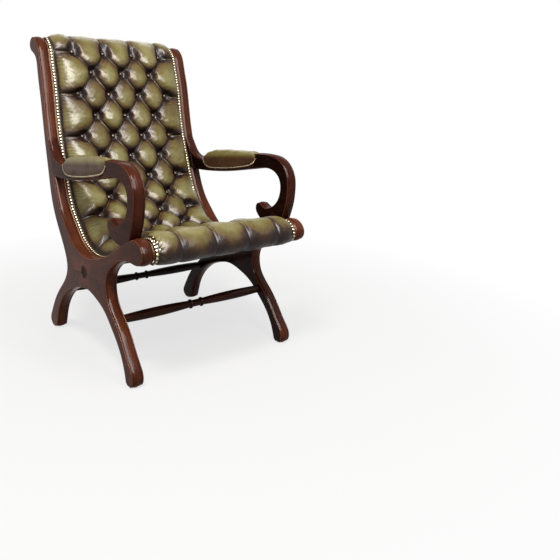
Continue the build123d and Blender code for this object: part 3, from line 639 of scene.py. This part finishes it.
    # Painted highlight on the tuck ridges; painted shade in the grooves and where the side pillows fall to
    # the nails
    rub_and_shade = rub_and_shade + 0.7 * ridges * (1 - dark) - 0.32 * grooves - 0.45 * smooth_step(0.86, 1, t) * outside
    return height, lean, rub_and_shade


def build_hide():
    """The buttoned leather as one closed form, with its flat nailed margins."""
    rows = int((sling.length - hide_start - hide_end_gap) / hide_step)
    columns = int(2 * leather_half / hide_step)
    distance = np.linspace(hide_start, sling.length - hide_end_gap, rows)
    across = np.linspace(-leather_half, leather_half, columns)
    grid_d, grid_x = np.meshgrid(distance, across, indexing="ij")
    height, lean, rub_and_shade = hide_heights(grid_x, grid_d)
    height = blurred(height, 0.7)
    place = sling_place(grid_x, grid_d + blurred(lean, 3), height)
    under = sling_place(across[[0, -1]], distance[:, None], np.full((rows, 2), -leather_thickness))
    top = rows * columns
    faces = [*grid_faces(rows, columns)[:, ::-1]]
    for i in range(rows - 1):
        left, right = top + 2 * i, top + 2 * i + 1
        faces.append((left, left + 2, right + 2, right))
        faces.append((i * columns, (i + 1) * columns, left + 2, left))
        faces.append(((i + 1) * columns - 1, right, right + 2, (i + 2) * columns - 1))
    faces.append((*range(columns), top + 1, top))
    last = (rows - 1) * columns
    faces.append((*range(last + columns - 1, last - 1, -1), top + 2 * rows - 2, top + 2 * rows - 1))
    points = np.vstack([place.reshape(-1, 3), under.reshape(-1, 3)])
    piece = new_object("buttoned_hide", points, faces, material=hide)

    # Darker where the leather folds in, partly dark antiquing and partly painted shade; even on the nailed
    # margins and the underside
    fold = (blurred(height, 2) - height) / mm
    rub_and_shade = blurred(rub_and_shade, 0.8) - 0.22 * np.clip(fold, -0.7, 1.4)
    rub_and_shade = np.where(np.abs(grid_x) > margin_half, 0.38, rub_and_shade)
    set_attribute(piece, "rub_and_shade", np.concatenate([unit(rub_and_shade).ravel(), np.full(2 * rows, 0.2)]))
    return piece


def lathe(profile, turns):
    """Points and faces of a profile of (radius, height) pairs turned about Z, closed at both ends."""
    angles = np.linspace(0, math.tau, turns, endpoint=False)
    rings = [np.stack([r * np.cos(angles), r * np.sin(angles), np.full(turns, h)], -1) for r, h in profile]
    return np.vstack(rings), tube_faces(len(profile), turns)


def placed_copies(name, shape, places, material):
    """One object of many copies of a small shape, each placed by a matrix."""
    points, faces = shape
    all_points, all_faces = [], []
    for number, place in enumerate(places):
        matrix = np.array(place)
        all_points.append(points @ matrix[:3, :3].T + matrix[:3, 3])
        all_faces += [[i + number * len(points) for i in face] for face in faces]
    return new_object(name, np.vstack(all_points), all_faces, material=material)


def facing(origin, normal, spin, scale=1.0):
    """Matrix that stands a shape on a point, with its Z along a normal."""
    turn = Vector(normal).to_track_quat("Z", "Y").to_matrix().to_4x4()
    standing = Matrix.Translation(Vector(origin)) @ turn
    return standing @ Matrix.Rotation(spin, 4, "Z") @ Matrix.Scale(scale, 4)


def on_sling(x, distance, height, lean, spin, scale=1.0):
    """Matrix that stands a shape on the sling, leaning a little across and up."""
    normal = sling_normal(distance)
    direction = (lean[0], normal[0], normal[1] + lean[1])
    return facing(sling_place(x, distance, height), direction, spin, scale)


# Section of a button: (radius, height) pairs, in millimetres
button_profile = [
    (5.6, 0), (7.2, 0.8), (7.8, 1.9), (7.5, 3.2), (6.5, 4.4), (4.9, 5.4), (2.9, 6.0), (0.9, 6.2),
]
largest_spin = 6


def build_buttons():
    """Buttons in the wells, each pulled in a little differently."""
    draw = np.random.default_rng(11)
    places = []
    for row in range(1, row_count + 1):
        count = 3 + row % 2
        distance = row_distance(row)
        seat = by_row(distance, well_rows) * mm - 0.6 * mm
        for number in range(count):
            x = (number - (count - 1) / 2) * column_pitch
            places.append(on_sling(x, distance, seat, draw.uniform(-0.12, 0.12, 2),
                                   draw.uniform(0, largest_spin), draw.uniform(0.94, 1.04)))
    shape = lathe([(radius * mm, height * mm) for radius, height in button_profile], turns=28)
    piece = placed_copies("hide_buttons", shape, places, button_hide)
    # Lighter towards each button's top, darker at its base in the well: painted shade
    set_attribute(piece, "rub_and_shade", np.tile(unit(0.05 + shape[0][:, 2] / (18 * mm)), len(places)))
    return piece


def dome_profile(radius, height, rim, steps=7):
    """Nail head: an upright rim, then a dome."""
    profile = [(radius, 0), (radius, rim)]
    for i in range(1, steps + 1):
        angle = i / steps * math.pi / 2
        profile.append((radius * math.cos(angle) + 0.02 * mm, rim + (height - rim) * math.sin(angle)))
    return profile


nail_shape = lathe(dome_profile(nail_radius, nail_height + 0.4 * mm, rim=0.5 * mm), turns=18)
second_row_nails = 6
second_row_start = row_distance(15.85)
second_row_inset = 12.5 * mm
second_row_scale = 0.62


def build_nails(name, places):
    """Nails at some places, darker round their rims: partly tarnish, partly painted shade."""
    piece = placed_copies(name, nail_shape, places, nail_metal)
    soil = 1 - smooth_step(1.3 * mm, 2.7 * mm, nail_shape[0][:, 2])
    set_attribute(piece, "soil", np.tile(soil, len(places)))
    return piece


def build_trim_nails(name):
    """Nails along the left edge of the leather, and a short second row at the end of its front roll."""
    draw = np.random.default_rng(21)
    places = []
    first, last = 9.6 * mm, sling.length - 8 * mm
    for number in range(int((last - first) / nail_pitch) + 1):
        distance = first + number * nail_pitch + draw.uniform(-0.5, 0.5) * mm
        x = -(leather_half - nailing_margin / 2) + draw.uniform(-0.4, 0.4) * mm
        places.append(on_sling(x, distance, -0.1 * mm, draw.uniform(-0.08, 0.08, 2),
                               draw.uniform(0, largest_spin)))
    for number in range(second_row_nails):
        distance = second_row_start + number * nail_pitch + draw.uniform(-0.8, 0.8) * mm
        x = second_row_inset - leather_half + (number % 2 - 0.5) * 3 * mm
        height = hide_heights(x, np.array([distance]))[0][0]
        places.append(on_sling(x, distance, height - 0.3 * mm, (-0.5, 0), draw.uniform(0, largest_spin),
                               second_row_scale))
    return build_nails(name, places)


# Arm pads: rounded above, with gathered sides that are nailed along their lower edge
pad_shares = [
    (0.151, 0.576), (0.143, 0.559), (0.117, 0.546), (0.073, 0.543), (-0.024, 0.550),
    (-0.122, 0.562), (-0.189, 0.573), (-0.226, 0.586), (-0.240, 0.605), (-0.232, 0.620),
    (-0.195, 0.6265), (-0.070, 0.623), (0.049, 0.6155), (0.112, 0.605), (0.142, 0.592),
]
pad_spine_shares = [(0.118, 0.577), (-0.205, 0.602)]
pad_levels = (0, 0.15, 0.3, 0.45, 0.6, 0.7, 0.78, 0.84, 0.89, 0.93, 0.96, 0.98, 0.992, 0.998, 1)
pad_half = board_thickness / 2 + 1.5 * mm
pad_points = 220
pad_nail_pitch = 8.2 * mm
pad_nail_scale = 0.62
pad_nail_inset = 4.6 * mm
pad_end_rise = 11 * mm

# Closed line round a pad, with the distances of its first point, of the end of its lower edge and
# of its first point again
pad_corners = [side(share) for share in pad_shares]
pad_line = SmoothLine([*pad_corners[-3:], *pad_corners, *pad_corners[:4]])
pad_start, pad_low_end, pad_end = (
    pad_line.distances[(3 + corner) * pad_line.samples_per_span] for corner in (0, 8, len(pad_corners))
)


def pad_spots(distances):
    """Points of a pad's outline, and for each its spine point and the squareness of its section."""
    edge = pad_line.at(distances)
    rear, front = (side(share) for share in pad_spine_shares)
    spine = rear + (front - rear) * unit((edge[:, 0] - rear[0]) / (front[0] - rear[0]))[:, None]
    reach = edge - spine
    upward = reach[:, 1] / np.linalg.norm(reach, axis=1)
    return edge, spine, 9 - 6.6 * smooth_step(-0.35, 0.55, upward)


def pad_section(level, squareness):
    """Half width of the pad, as a share, where a level runs from its spine (0) to its outline (1)."""
    return (1 - level ** squareness) ** (1 / squareness)


def build_arm_pad():
    edge, spine, squareness = pad_spots(np.linspace(pad_start, pad_end, pad_points, endpoint=False))
    reach = edge - spine
    outward = reach / np.linalg.norm(reach, axis=1, keepdims=True)
    low = smooth_step(0.25, -0.35, reach[:, 1] / (25 * mm))
    rings, rub_and_shade_rings = [], []
    turn_back = [(-1, level) for level in pad_levels[-2::-1]]
    for sign, level in [(1, level) for level in pad_levels] + turn_back:
        spots = spine + level * reach
        y, z = spots.T
        gathers = np.sin(math.tau * y / (6.6 * mm) + 2.2 * waves(y, z, 31, 25 * mm, 70 * mm))
        amount = low * smooth_step(0.2, 0.6, level) * (1 - smooth_step(0.93, 0.99, level))
        half = pad_half * pad_section(level, squareness) + 0.9 * mm * gathers * amount
        slack = 0.9 * mm * waves(y, z + sign * 0.5, 32, 30 * mm, 80 * mm) * (1 - low) * level
        spots = spots + outward * slack[:, None]
        rings.append(np.stack([-board_middle - sign * half, spots[:, 0], spots[:, 1]], -1))
        # Tone for the colour: lighter towards the top and along the nailed edge, with painted highlight on
        # the crests of the gathers and painted shade between them
        top = smooth_step(0, 1, (spots[:, 1] - spine[:, 1]) / (19 * mm))
        nailed = low * smooth_step(0.86, 0.93, level)
        rub_and_shade_rings.append(0.27 + 0.6 * top + 0.16 * gathers * amount + 0.16 * nailed)
    faces = tube_faces(len(rings), pad_points)
    piece = new_object("left_arm_pad", np.vstack(rings), faces, material=pad_hide)
    set_attribute(piece, "rub_and_shade", unit(np.concatenate(rub_and_shade_rings)))
    return face_outward(piece, weld=0.02 * mm)


def build_pad_nails():
    """Nails along the low edge of a pad on both faces, and across the arm at its two ends."""
    draw = np.random.default_rng(41)
    count = int((pad_low_end - pad_start) / pad_nail_pitch) + 1
    edge, spine, squareness = pad_spots(pad_start + np.arange(count) * pad_nail_pitch)
    level = 1 - pad_nail_inset / np.linalg.norm(edge - spine, axis=1)
    half = pad_half * pad_section(level, squareness) - 0.2 * mm
    spots = spine + level[:, None] * (edge - spine)
    places = []
    for number in range(count):
        for sign in (1, -1):
            y, z = spots[number] + draw.uniform(-0.3, 0.3, 2) * mm
            origin = (-board_middle - sign * half[number], y, z)
            places.append(facing(origin, (-sign, 0, 0), draw.uniform(0, largest_spin), pad_nail_scale))
    for distance in (pad_low_end + pad_end_rise, pad_end - pad_end_rise):
        edge, spine, squareness = pad_spots(np.array([distance]))
        outward = (edge - spine)[0] / np.linalg.norm(edge - spine)
        for number in (-1.5, -0.5, 0.5, 1.5):
            across = number * pad_nail_pitch
            level = pad_section(abs(across / pad_half), squareness[0])
            spot = spine[0] + level * (edge - spine)[0] - 0.3 * mm * outward
            direction = (0.9 * across / pad_half, *outward)
            spin = draw.uniform(0, largest_spin)
            places.append(facing((across - board_middle, *spot), direction, spin, pad_nail_scale))
    return build_nails("left_pad_nail_row", places)


# Sheets stretched behind the back and under the seat
outside_back_shares = [
    (0.268, 0.445), (0.305, 0.543), (0.340, 0.645), (0.380, 0.781), (0.413, 0.882), (0.429, 0.923),
    (0.461, 0.943),
]
sheet_half = inner_face - 0.6 * mm
sheet_thickness = 1.2 * mm
sheet_step = 6 * mm
hem_width = 9 * mm
dust_cover_height = -26.7 * mm
dust_cover_ends = (row_distance(9.5), row_distance(15) + 11 * mm)
dust_cover_sag = 4 * mm
back_hem_rows = (9.5, 9.2)
back_hem_height = -50.8 * mm


def even_distances(length):
    """Distances over a length, closer at its two ends where the hem is."""
    fine = np.arange(0, 1.6 * hem_width, 1.5 * mm)
    middle = np.linspace(fine[-1], length - fine[-1], int(length / sheet_step))[1:-1]
    return np.concatenate([fine, middle, length - fine[::-1]])


def build_sheet(name, material, length, place, relief):
    """A sheet between the side frames: its two faces, with a folded hem all round."""
    across = even_distances(2 * sheet_half) - sheet_half
    grid_along, grid_x = np.meshgrid(even_distances(length), across, indexing="ij")
    from_edge = np.minimum(sheet_half - np.abs(grid_x), np.minimum(grid_along, length - grid_along))
    hem = 1 - smooth_step(hem_width - 2 * mm, hem_width, from_edge)
    seam = bell(from_edge - hem_width, 1.4 * mm)
    shift = 3 * waves(grid_x, grid_along, 51, 80 * mm, 250 * mm)
    pucker = np.sin(math.tau * (grid_along + grid_x) / (17 * mm) + shift)
    pucker = pucker * np.exp(-from_edge / (22 * mm)) * smooth_step(0, hem_width, from_edge)
    slack = waves(grid_x, grid_along, 52, 100 * mm, 300 * mm) * smooth_step(0, 80 * mm, from_edge)
    bulge = relief * smooth_step(0, 200 * mm, from_edge) + 0.5 * mm * slack
    outer = bulge + 0.5 * mm * hem - 0.3 * mm * seam + 0.3 * mm * pucker
    inner = bulge - sheet_thickness + 0.3 * mm * pucker
    points = np.vstack([place(grid_x, grid_along, height).reshape(-1, 3) for height in (outer, inner)])
    rows, columns = grid_x.shape
    count = rows * columns
    top = grid_faces(rows, columns)
    border = [*range(columns), *range(2 * columns - 1, count, columns),
              *range(count - 2, count - columns - 1, -1), *range(count - 2 * columns, 0, -columns)]
    rim = [(start, start + count, end + count, end) for start, end in zip(border, border[1:] + border[:1])]
    faces = [*top, *(top[:, ::-1] + count), *rim]
    piece = face_outward(new_object(name, points, faces, material=material))
    # Tone for the colour: lighter on the hem, painted shade along the seam, and painted highlight and shade
    # on the puckers and the slack
    rub_and_shade = 0.46 + 0.16 * hem - 0.2 * seam + 0.12 * pucker + 0.06 * slack
    set_attribute(piece, "rub_and_shade", np.tile(unit(rub_and_shade).ravel(), 2))
    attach(piece, "root")
    return piece


def build_outside_back():
    under_rail = [sling_place(0, row_distance(row), back_hem_height)[1:] for row in back_hem_rows]
    line = SmoothLine(under_rail + [side(share) for share in outside_back_shares])

    def place(x, distance, height):
        along = line.along(np.clip(distance, 2 * mm, line.length - 2 * mm))
        spots = line.at(distance) + np.stack([along[..., 1], -along[..., 0]], -1) * height[..., None]
        return np.stack([x, spots[..., 0], spots[..., 1]], -1)

    return build_sheet("outside_back_hide", back_hide, line.length, place, 1.5 * mm)


def build_dust_cover():
    start, end = dust_cover_ends

    def place(x, distance, height):
        return sling_place(x, start + distance, dust_cover_height - height)

    return build_sheet("seat_dust_cloth", dust_cloth, end - start, place, dust_cover_sag)


# Contours of the side frames, read from the left members of the construction model
members = ("back_stile", "seat_rail", "front_leg", "rear_leg", "arm")
contour_step = 2.6 * mm
corner_angle = math.radians(32)
ball_share = 0.7


def face_loops(names, x):
    """Closed loops of (y, z) points round the faces of some nodes that lie at one x."""
    edges = {}
    for name in names:
        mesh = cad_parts[name].data
        points = np.zeros(len(mesh.vertices) * 3)
        mesh.vertices.foreach_get("co", points)
        points = points.reshape(-1, 3)
        keys = [tuple(key) for key in np.round(points[:, 1:] / (0.02 * mm)).astype(int)]
        on_face = np.abs(points[:, 0] - x) < 0.01 * mm
        for polygon in mesh.polygons:
            corners = list(polygon.vertices)
            if not all(on_face[i] for i in corners):
                continue
            for start, end in zip(corners, corners[1:] + corners[:1]):
                pair = (keys[start], keys[end])
                if pair[0] == pair[1]:
                    continue
                if pair[::-1] in edges:
                    del edges[pair[::-1]]
                else:
                    edges[pair] = points[start, 1:]
    following = {pair[0]: pair for pair in edges}
    loops = []
    while following:
        start, pair = next(iter(following.items()))
        loop = []
        while pair and pair[0] in following:
            loop.append(edges[pair])
            del following[pair[0]]
            pair = following.get(pair[1])
        loops.append(np.array(loop))
    return sorted(loops, key=len, reverse=True)


def signed_area(loop):
    y, z = loop[:, 0], loop[:, 1]
    return 0.5 * np.sum(y * np.roll(z, -1) - z * np.roll(y, -1))


def even_loop(loop, step):
    """The loop with evenly spaced points, smoothed between its corners, which it keeps."""
    gaps = np.linalg.norm(np.roll(loop, -1, axis=0) - loop, axis=1)
    loop = loop[gaps > 1e-6]
    before = loop - np.roll(loop, 1, axis=0)
    after = np.roll(loop, -1, axis=0) - loop
    turn = np.arctan2(before[:, 0] * after[:, 1] - before[:, 1] * after[:, 0], (before * after).sum(1))
    corners = np.flatnonzero(np.abs(turn) > corner_angle)
    if len(corners) == 0:
        corners = np.array([0])
    result = []
    for start, end in zip(corners, np.append(corners[1:], corners[0] + len(loop))):
        run = loop[np.arange(start, end + 1) % len(loop)]
        distances = np.concatenate([[0], np.cumsum(np.linalg.norm(np.diff(run, axis=0), axis=1))])
        at = np.linspace(0, distances[-1], max(2, int(round(distances[-1] / step)) + 1))
        run = np.stack([np.interp(at, distances, run[:, axis]) for axis in (0, 1)], -1)
        if len(run) > 4:
            for _ in range(6):
                run[1:-1] = 0.5 * run[1:-1] + 0.25 * (run[:-2] + run[2:])
        result.append(run[:-1])
    return np.vstack(result)


def loop_normals(loop):
    """Unit normals that point out of the wood, for a loop with the wood on its left."""
    before = loop - np.roll(loop, 1, axis=0)
    after = np.roll(loop, -1, axis=0) - loop
    before /= np.linalg.norm(before, axis=1, keepdims=True)
    after /= np.linalg.norm(after, axis=1, keepdims=True)
    tangent = before + after
    size = np.linalg.norm(tangent, axis=1, keepdims=True)
    tangent = tangent / np.maximum(size, 1e-9)
    stretch = 1 / np.clip(size / 2, 0.6, 1)
    return np.stack([tangent[:, 1], -tangent[:, 0]], -1) * stretch


def ball_limits(points, normals):
    """Radius of the largest ball that touches each point of a loop on the normal's side."""
    reach = points[None, :, :] - points[:, None, :]
    ahead = (reach * normals[:, None, :]).sum(-1)
    square = (reach ** 2).sum(-1)
    radius = np.where(ahead > 1e-7, square / np.maximum(2 * ahead, 1e-9), 1.0)
    radius = radius.min(axis=1)
    return np.minimum(radius, np.minimum(np.roll(radius, 1), np.roll(radius, -1)))


# Section of a board's edge: (place across the board, height above the sawn edge, lightening for edge wear
# and painted highlight), in millimetres
board_section = [
    (0.0, -3.2, 0.10), (0.0, -2.1, 0.30), (0.35, -1.1, 0.80), (1.0, -0.3, 1.00), (1.9, 0.1, 1.00),
    (2.8, -0.25, 0.80), (3.5, -1.0, 0.20), (3.9, -1.6, 0.00), (4.4, -1.2, 0.05), (5.6, -0.2, 0.15),
    (8.0, 1.0, 0.20), (11.0, 1.9, 0.25), (14.5, 2.5, 0.30), (18.5, 2.7, 0.30),
]
board_section += [(board_thickness / mm - place, height, wear_and_highlight)
                  for place, height, wear_and_highlight in board_section[-2::-1]]


# Region of each member in the side view: its seams at the hub and the joints, and far points
far = 2.0
hub, rear_waist, top_waist, bottom_waist, front_waist = map(side, (
    hub_share, rear_waist_share, top_waist_share, bottom_waist_share, front_waist_share,
))
joint_top, joint_bottom, scroll_rear, scroll_front = map(side, (
    arm_joint_top_share, arm_joint_bottom_share, scroll_seat_rear_share, scroll_seat_front_share,
))
hole_middle = side((-0.05, 0.42))
scroll_far = (-far, scroll_front[1] + far / 2)
member_regions = {
    "back_stile": [hub, rear_waist, (far, rear_waist[1]), (far, far), (joint_top[0], far), joint_top,
                   joint_bottom, hole_middle, top_waist],
    "seat_rail": [hub, top_waist, hole_middle, scroll_rear, scroll_front, scroll_far,
                  (-far, front_waist[1]), front_waist],
    "front_leg": [hub, front_waist, (-far, front_waist[1]), (-far, -far), (bottom_waist[0], -far),
                  bottom_waist],
    "rear_leg": [hub, bottom_waist, (bottom_waist[0], -far), (far, -far), (far, rear_waist[1]), rear_waist],
    "arm": [joint_top, (joint_top[0], far), (-far, far), scroll_far, scroll_front, scroll_rear, hole_middle,
            joint_bottom],
}

# Recess of the rosette: (gap round it, depth), in millimetres, with a small bead round its mouth
recess_section = [(1.6, 0), (1.1, -0.7), (0.5, -0.3), (0.2, 0.3), (0.2, rosette_depth / mm)]
recess_turns = 64
short_loop = 12
sole_height = 3.4 * mm


def prism(points, low_x, high_x):
    """Closed prism of a side-view polygon between two places across the chair."""
    count = len(points)
    solid = [(low_x, *p) for p in points] + [(high_x, *p) for p in points]
    faces = [(i, (i + 1) % count, (i + 1) % count + count, i + count) for i in range(count)]
    faces += [range(count)[::-1], range(count, 2 * count)]
    return face_outward(new_object("cutter", solid, faces, smooth=False))


def bridged(shape, rings):
    """Faces from each ring of vertices to the next, and the edges of the first and last rings."""
    count = len(rings[0])
    for ring, following in zip(rings, rings[1:]):
        for i in range(count):
            j = (i + 1) % count
            shape.faces.new((ring[i], following[i], following[j], ring[j]))
    return [[shape.edges.get((ring[i], ring[(i + 1) % count])) for i in range(count)]
            for ring in (rings[0], rings[-1])]


def build_blank():
    """The whole left side frame with its moulded edges, before it is divided into members."""
    shape = bmesh.new()
    wear_and_highlight = shape.verts.layers.float.new("wear_and_highlight")
    soil = shape.verts.layers.float.new("soil")
    front_edges, back_edges = [], []
    pad_low, pad_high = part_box("left_arm_pad_cover")
    for loop in face_loops([f"left_{name}" for name in members], -half_width):
        from_hub = np.linalg.norm(loop.mean(0) - hub)
        is_rosette_hole = np.ptp(loop[:, 0]) < 3 * rosette_radius and from_hub < rosette_radius
        if len(loop) <= short_loop or is_rosette_hole:
            continue
        is_outline = np.ptp(loop[:, 1]) > 0.8 * frame_height
        points = even_loop(loop, contour_step)
        if (signed_area(points) > 0) != is_outline:
            points = points[::-1]
        normals = loop_normals(points)
        y, z = points.T

        # The moulding fades out under the pad and at the floor
        under_pad = (y > pad_low[1]) & (y < pad_high[1]) & (z > pad_low[2] - 2 * mm) & (z < pad_high[2])
        strength = 1 - (under_pad & is_outline).astype(float)
        strength[z < sole_height] = 0
        for _ in range(4):
            strength = 0.5 * strength + 0.25 * (np.roll(strength, 1) + np.roll(strength, -1))
        strength[z < sole_height] = 0
        room_outside = ball_share * ball_limits(points, normals)
        room_inside = ball_share * ball_limits(points, -normals)
        rings = []
        for place, height, highlight_and_wear in board_section:
            if height > 0:
                offset = np.minimum(height * mm * strength, room_outside)
            else:
                offset = -np.minimum(-height * mm, room_inside)
            ring = []
            for spot in points + normals * offset[:, None]:
                vertex = shape.verts.new((-half_width + place * mm, spot[0], spot[1]))
                # Beads and crowns get edge wear and painted highlight; grooves get dirt and painted shade
                vertex[wear_and_highlight] = highlight_and_wear
                vertex[soil] = 1.0 if height < -1.3 and place > 1 else 0.0
                ring.append(vertex)
            rings.append(ring)
        front, back = bridged(shape, rings)
        front_edges += front
        back_edges += back

    rings = []
    for gap, depth in recess_section:
        radius = rosette_radius + gap * mm
        ring = []
        for i in range(recess_turns):
            angle = math.tau * i / recess_turns
            y, z = hub[0] + radius * math.cos(angle), hub[1] + radius * math.sin(angle)
            vertex = shape.verts.new((-half_width + depth * mm, y, z))
            # The bead round the recess gets edge wear and painted highlight
            vertex[wear_and_highlight] = 0.5 if depth <= 0 else 0.0
            ring.append(vertex)
        rings.append(ring)
    front_edges += bridged(shape, rings)[0]
    shape.faces.new(rings[-1])
    for edges in (front_edges, back_edges):
        bmesh.ops.triangle_fill(shape, use_beauty=True, use_dissolve=False, edges=edges)
    bmesh.ops.recalc_face_normals(shape, faces=shape.faces)
    mesh = bpy.data.meshes.new("side_frame_blank")
    shape.to_mesh(mesh)
    shape.free()
    return linked("side_frame_blank", mesh)


def cut_member(blank, name):
    """The part of the blank that lies in one member's region, as its own piece."""
    cutter = prism(member_regions[name], -half_width - 20 * mm, -inner_face + 20 * mm)
    modifier = blank.modifiers.new("cut", "BOOLEAN")
    modifier.operation = "INTERSECT"
    modifier.solver = "EXACT"
    modifier.object = cutter
    graph = bpy.context.evaluated_depsgraph_get()
    mesh = bpy.data.meshes.new_from_object(blank.evaluated_get(graph))
    blank.modifiers.remove(modifier)
    bpy.data.objects.remove(cutter)
    piece = linked(f"left_{name}_moulded", mesh)
    sharpen(piece, angle=math.radians(38))
    mesh.materials.clear()
    mesh.materials.append(wood_of[name])
    return piece


def sharpen(piece, angle):
    """Smooth shading, broken at edges that turn by more than an angle."""
    shape = bmesh.new()
    shape.from_mesh(piece.data)
    for face in shape.faces:
        face.smooth = True
    for edge in shape.edges:
        edge.smooth = len(edge.link_faces) == 2 and edge.calc_face_angle(0) < angle
    shape.to_mesh(piece.data)
    shape.free()


def ride_pair(piece, name, *replaced):
    """Puts a left piece and its mirror image on the chair, in place of their nodes."""
    twin = mirrored(piece, piece.name.replace("left_", "right_"))
    for item, side_name in ((piece, "left"), (twin, "right")):
        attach(item, "root")
        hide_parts(*[f"{side_name}_{node}" for node in replaced])
    return piece, twin


# Leather and its trim
leather_piece = build_hide()
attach(leather_piece, "root")
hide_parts("leather_cover", "foam_padding")
buttons = build_buttons()
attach(buttons, "root")
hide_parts("cover_buttons")
ride_pair(build_trim_nails("left_trim_nail_row"), "nail_brass", "trim_nails")

# Arm pads
for pad in ride_pair(build_arm_pad(), "pad_leather", "arm_pad_cover", "arm_pad_foam"):
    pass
ride_pair(build_pad_nails(), "nail_brass", "arm_pad_nails")

# Outside back and dust cover
outside_back = build_outside_back()
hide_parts("outside_back_cover")
dust_cover = build_dust_cover()
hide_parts("dust_cover")

# Side frames
blank = build_blank()
slot_of = {"arm": "arm_mahogany"}
for member in members:
    ride_pair(cut_member(blank, member), slot_of.get(member, "mahogany"), member)
bpy.data.objects.remove(blank)

# Finishes of the construction pieces that stay
finish_of = {
    "front_stretcher": turned_wood, "rear_stretcher": turned_wood, "crest_bar": beech, "front_bar": beech,
    "lumbar_rail": beech, "frame_dowels": beech, "frame_screws": steel, "back_webbing": jute,
    "seat_webbing": jute, "hessian_lining": hessian, "foot_glides": glide_metal,
}
for side_name in sides:
    finish_of[f"{side_name}_hub_rosette"] = rosette_wood
    finish_of[f"{side_name}_back_inner_rail"] = beech
    finish_of[f"{side_name}_seat_inner_rail"] = beech
for node, material in finish_of.items():
    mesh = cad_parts[node].data
    mesh.materials.clear()
    mesh.materials.append(material)

# Floor, light and camera
floor_half = 9.0
white = (1, 1, 1, 1)
diffuse_level = 0.2
seen_level = 1.0


def seen_share(tree):
    """1 for what the camera sees, straight or by a reflection or through glass, and 0 for light."""
    rays = tree.nodes.new("ShaderNodeLightPath")
    total = rays.outputs["Is Camera Ray"]
    for name in ("Is Glossy Ray", "Is Transmission Ray"):
        larger = tree.nodes.new("ShaderNodeMath")
        larger.operation = "MAXIMUM"
        tree.links.new(total, larger.inputs[0])
        tree.links.new(rays.outputs[name], larger.inputs[1])
        total = larger.outputs[0]
    return total


def build_floor():
    """A pale floor that is seen as white, and a little less so round the chair."""
    finish = Finish("pale_floor", Roughness=0.9, Specular_IOR_Level=0.1)
    finish.surface(finish.mix(finish.noise(1.3, 3), (0.45, 0.447, 0.44), (0.48, 0.477, 0.47)))
    glow = finish.add("ShaderNodeEmission", {"Color": white, "Strength": seen_level})
    from_chair = finish.add("ShaderNodeVectorMath", {0: finish.place}, operation="LENGTH")
    near_to_far = finish.spread(from_chair.outputs["Value"], 0.35, 1.6, 0.72, 1)
    share = finish.math("MULTIPLY", near_to_far, seen_share(finish.tree))
    blend = finish.add("ShaderNodeMixShader", {0: share, 1: finish.shader.outputs[0], 2: glow.outputs[0]})
    finish.wire(blend.outputs[0], finish.output.inputs["Surface"])
    corners = [(floor_half * x, floor_half * y, 0) for x, y in ((-1, -1), (1, -1), (1, 1), (-1, 1))]
    return new_object("floor", corners, [(0, 1, 2, 3)], smooth=False, material=finish.material)


floor = build_floor()

world = bpy.data.worlds.new("studio")
bpy.context.scene.world = world
world.use_nodes = True
wires = world.node_tree
background = wires.nodes["Background"]
background.inputs["Color"].default_value = white
level = wires.nodes.new("ShaderNodeMapRange")
level.inputs["To Min"].default_value = diffuse_level
level.inputs["To Max"].default_value = seen_level
wires.links.new(seen_share(wires), level.inputs["Value"])
wires.links.new(level.outputs[0], background.inputs["Strength"])


def area_light(name, place, target, size, power, colour=(1, 0.98, 0.96)):
    data = bpy.data.lights.new(name, "AREA")
    data.shape = "RECTANGLE"
    data.size, data.size_y = size
    data.energy = power
    data.color = colour
    lamp = linked(name, data)
    lamp.location = place
    lamp.visible_camera = False
    lamp.rotation_euler = (Vector(target) - Vector(place)).to_track_quat("-Z", "Y").to_euler()
    return lamp


area_light("key", (-1.2, -1.0, 2.9), (0, 0, 0.5), (0.7, 0.7), 92, (1, 0.98, 0.95))
area_light("left", (-2.4, -0.5, 1.3), (0, 0, 0.4), (1.0, 1.2), 9)
area_light("right", (1.7, -1.5, 2.0), (0, 0, 0.6), (0.45, 1.5), 6)
area_light("strip", (0.0, -0.95, 1.5), (0, 0.25, 0.72), (0.16, 1.1), 13)
area_light("rim", (0.8, 2.2, 2.2), (0, 0, 0.6), (1.6, 1.0), 12, (1, 1, 1))

# A large soft lamp that lights by reflection alone, for the broad highlights of the leather
softbox = area_light("softbox", (-1.18, -1.68, 2.2), (0, 0, 0.6), (2.0, 1.7), 360, (1, 0.99, 0.97))
softbox.visible_diffuse = False

# Camera fitted to the photograph, which is 560 pixels square
photo_size = 560
camera_place = (-1.0268, -1.7721, 0.8084)
yaw, pitch, roll = 0.687716, 0.133716, -0.030266
focal_pixels = 603.27
principal_point = (258.473, 178.510)
sensor = 36.0
forward = np.array([math.sin(yaw) * math.cos(pitch), math.cos(yaw) * math.cos(pitch), -math.sin(pitch)])
right = np.array([math.cos(yaw), -math.sin(yaw), 0.0])
down = np.cross(forward, right)
level_right = math.cos(roll) * right + math.sin(roll) * down
level_down = -math.sin(roll) * right + math.cos(roll) * down
camera_data = bpy.data.cameras.new("photo_camera")
camera_data.sensor_width = sensor
camera_data.lens = focal_pixels / photo_size * sensor
camera_data.shift_x = (photo_size / 2 - principal_point[0]) / photo_size
camera_data.shift_y = (principal_point[1] - photo_size / 2) / photo_size
camera = linked("photo_camera", camera_data)
axes = np.stack([level_right, -level_down, -forward], axis=1)
camera.matrix_world = Matrix.Translation(camera_place) @ Matrix(axes.tolist()).to_4x4()
bpy.context.scene.camera = camera
bpy.context.scene.view_settings.view_transform = "Standard"
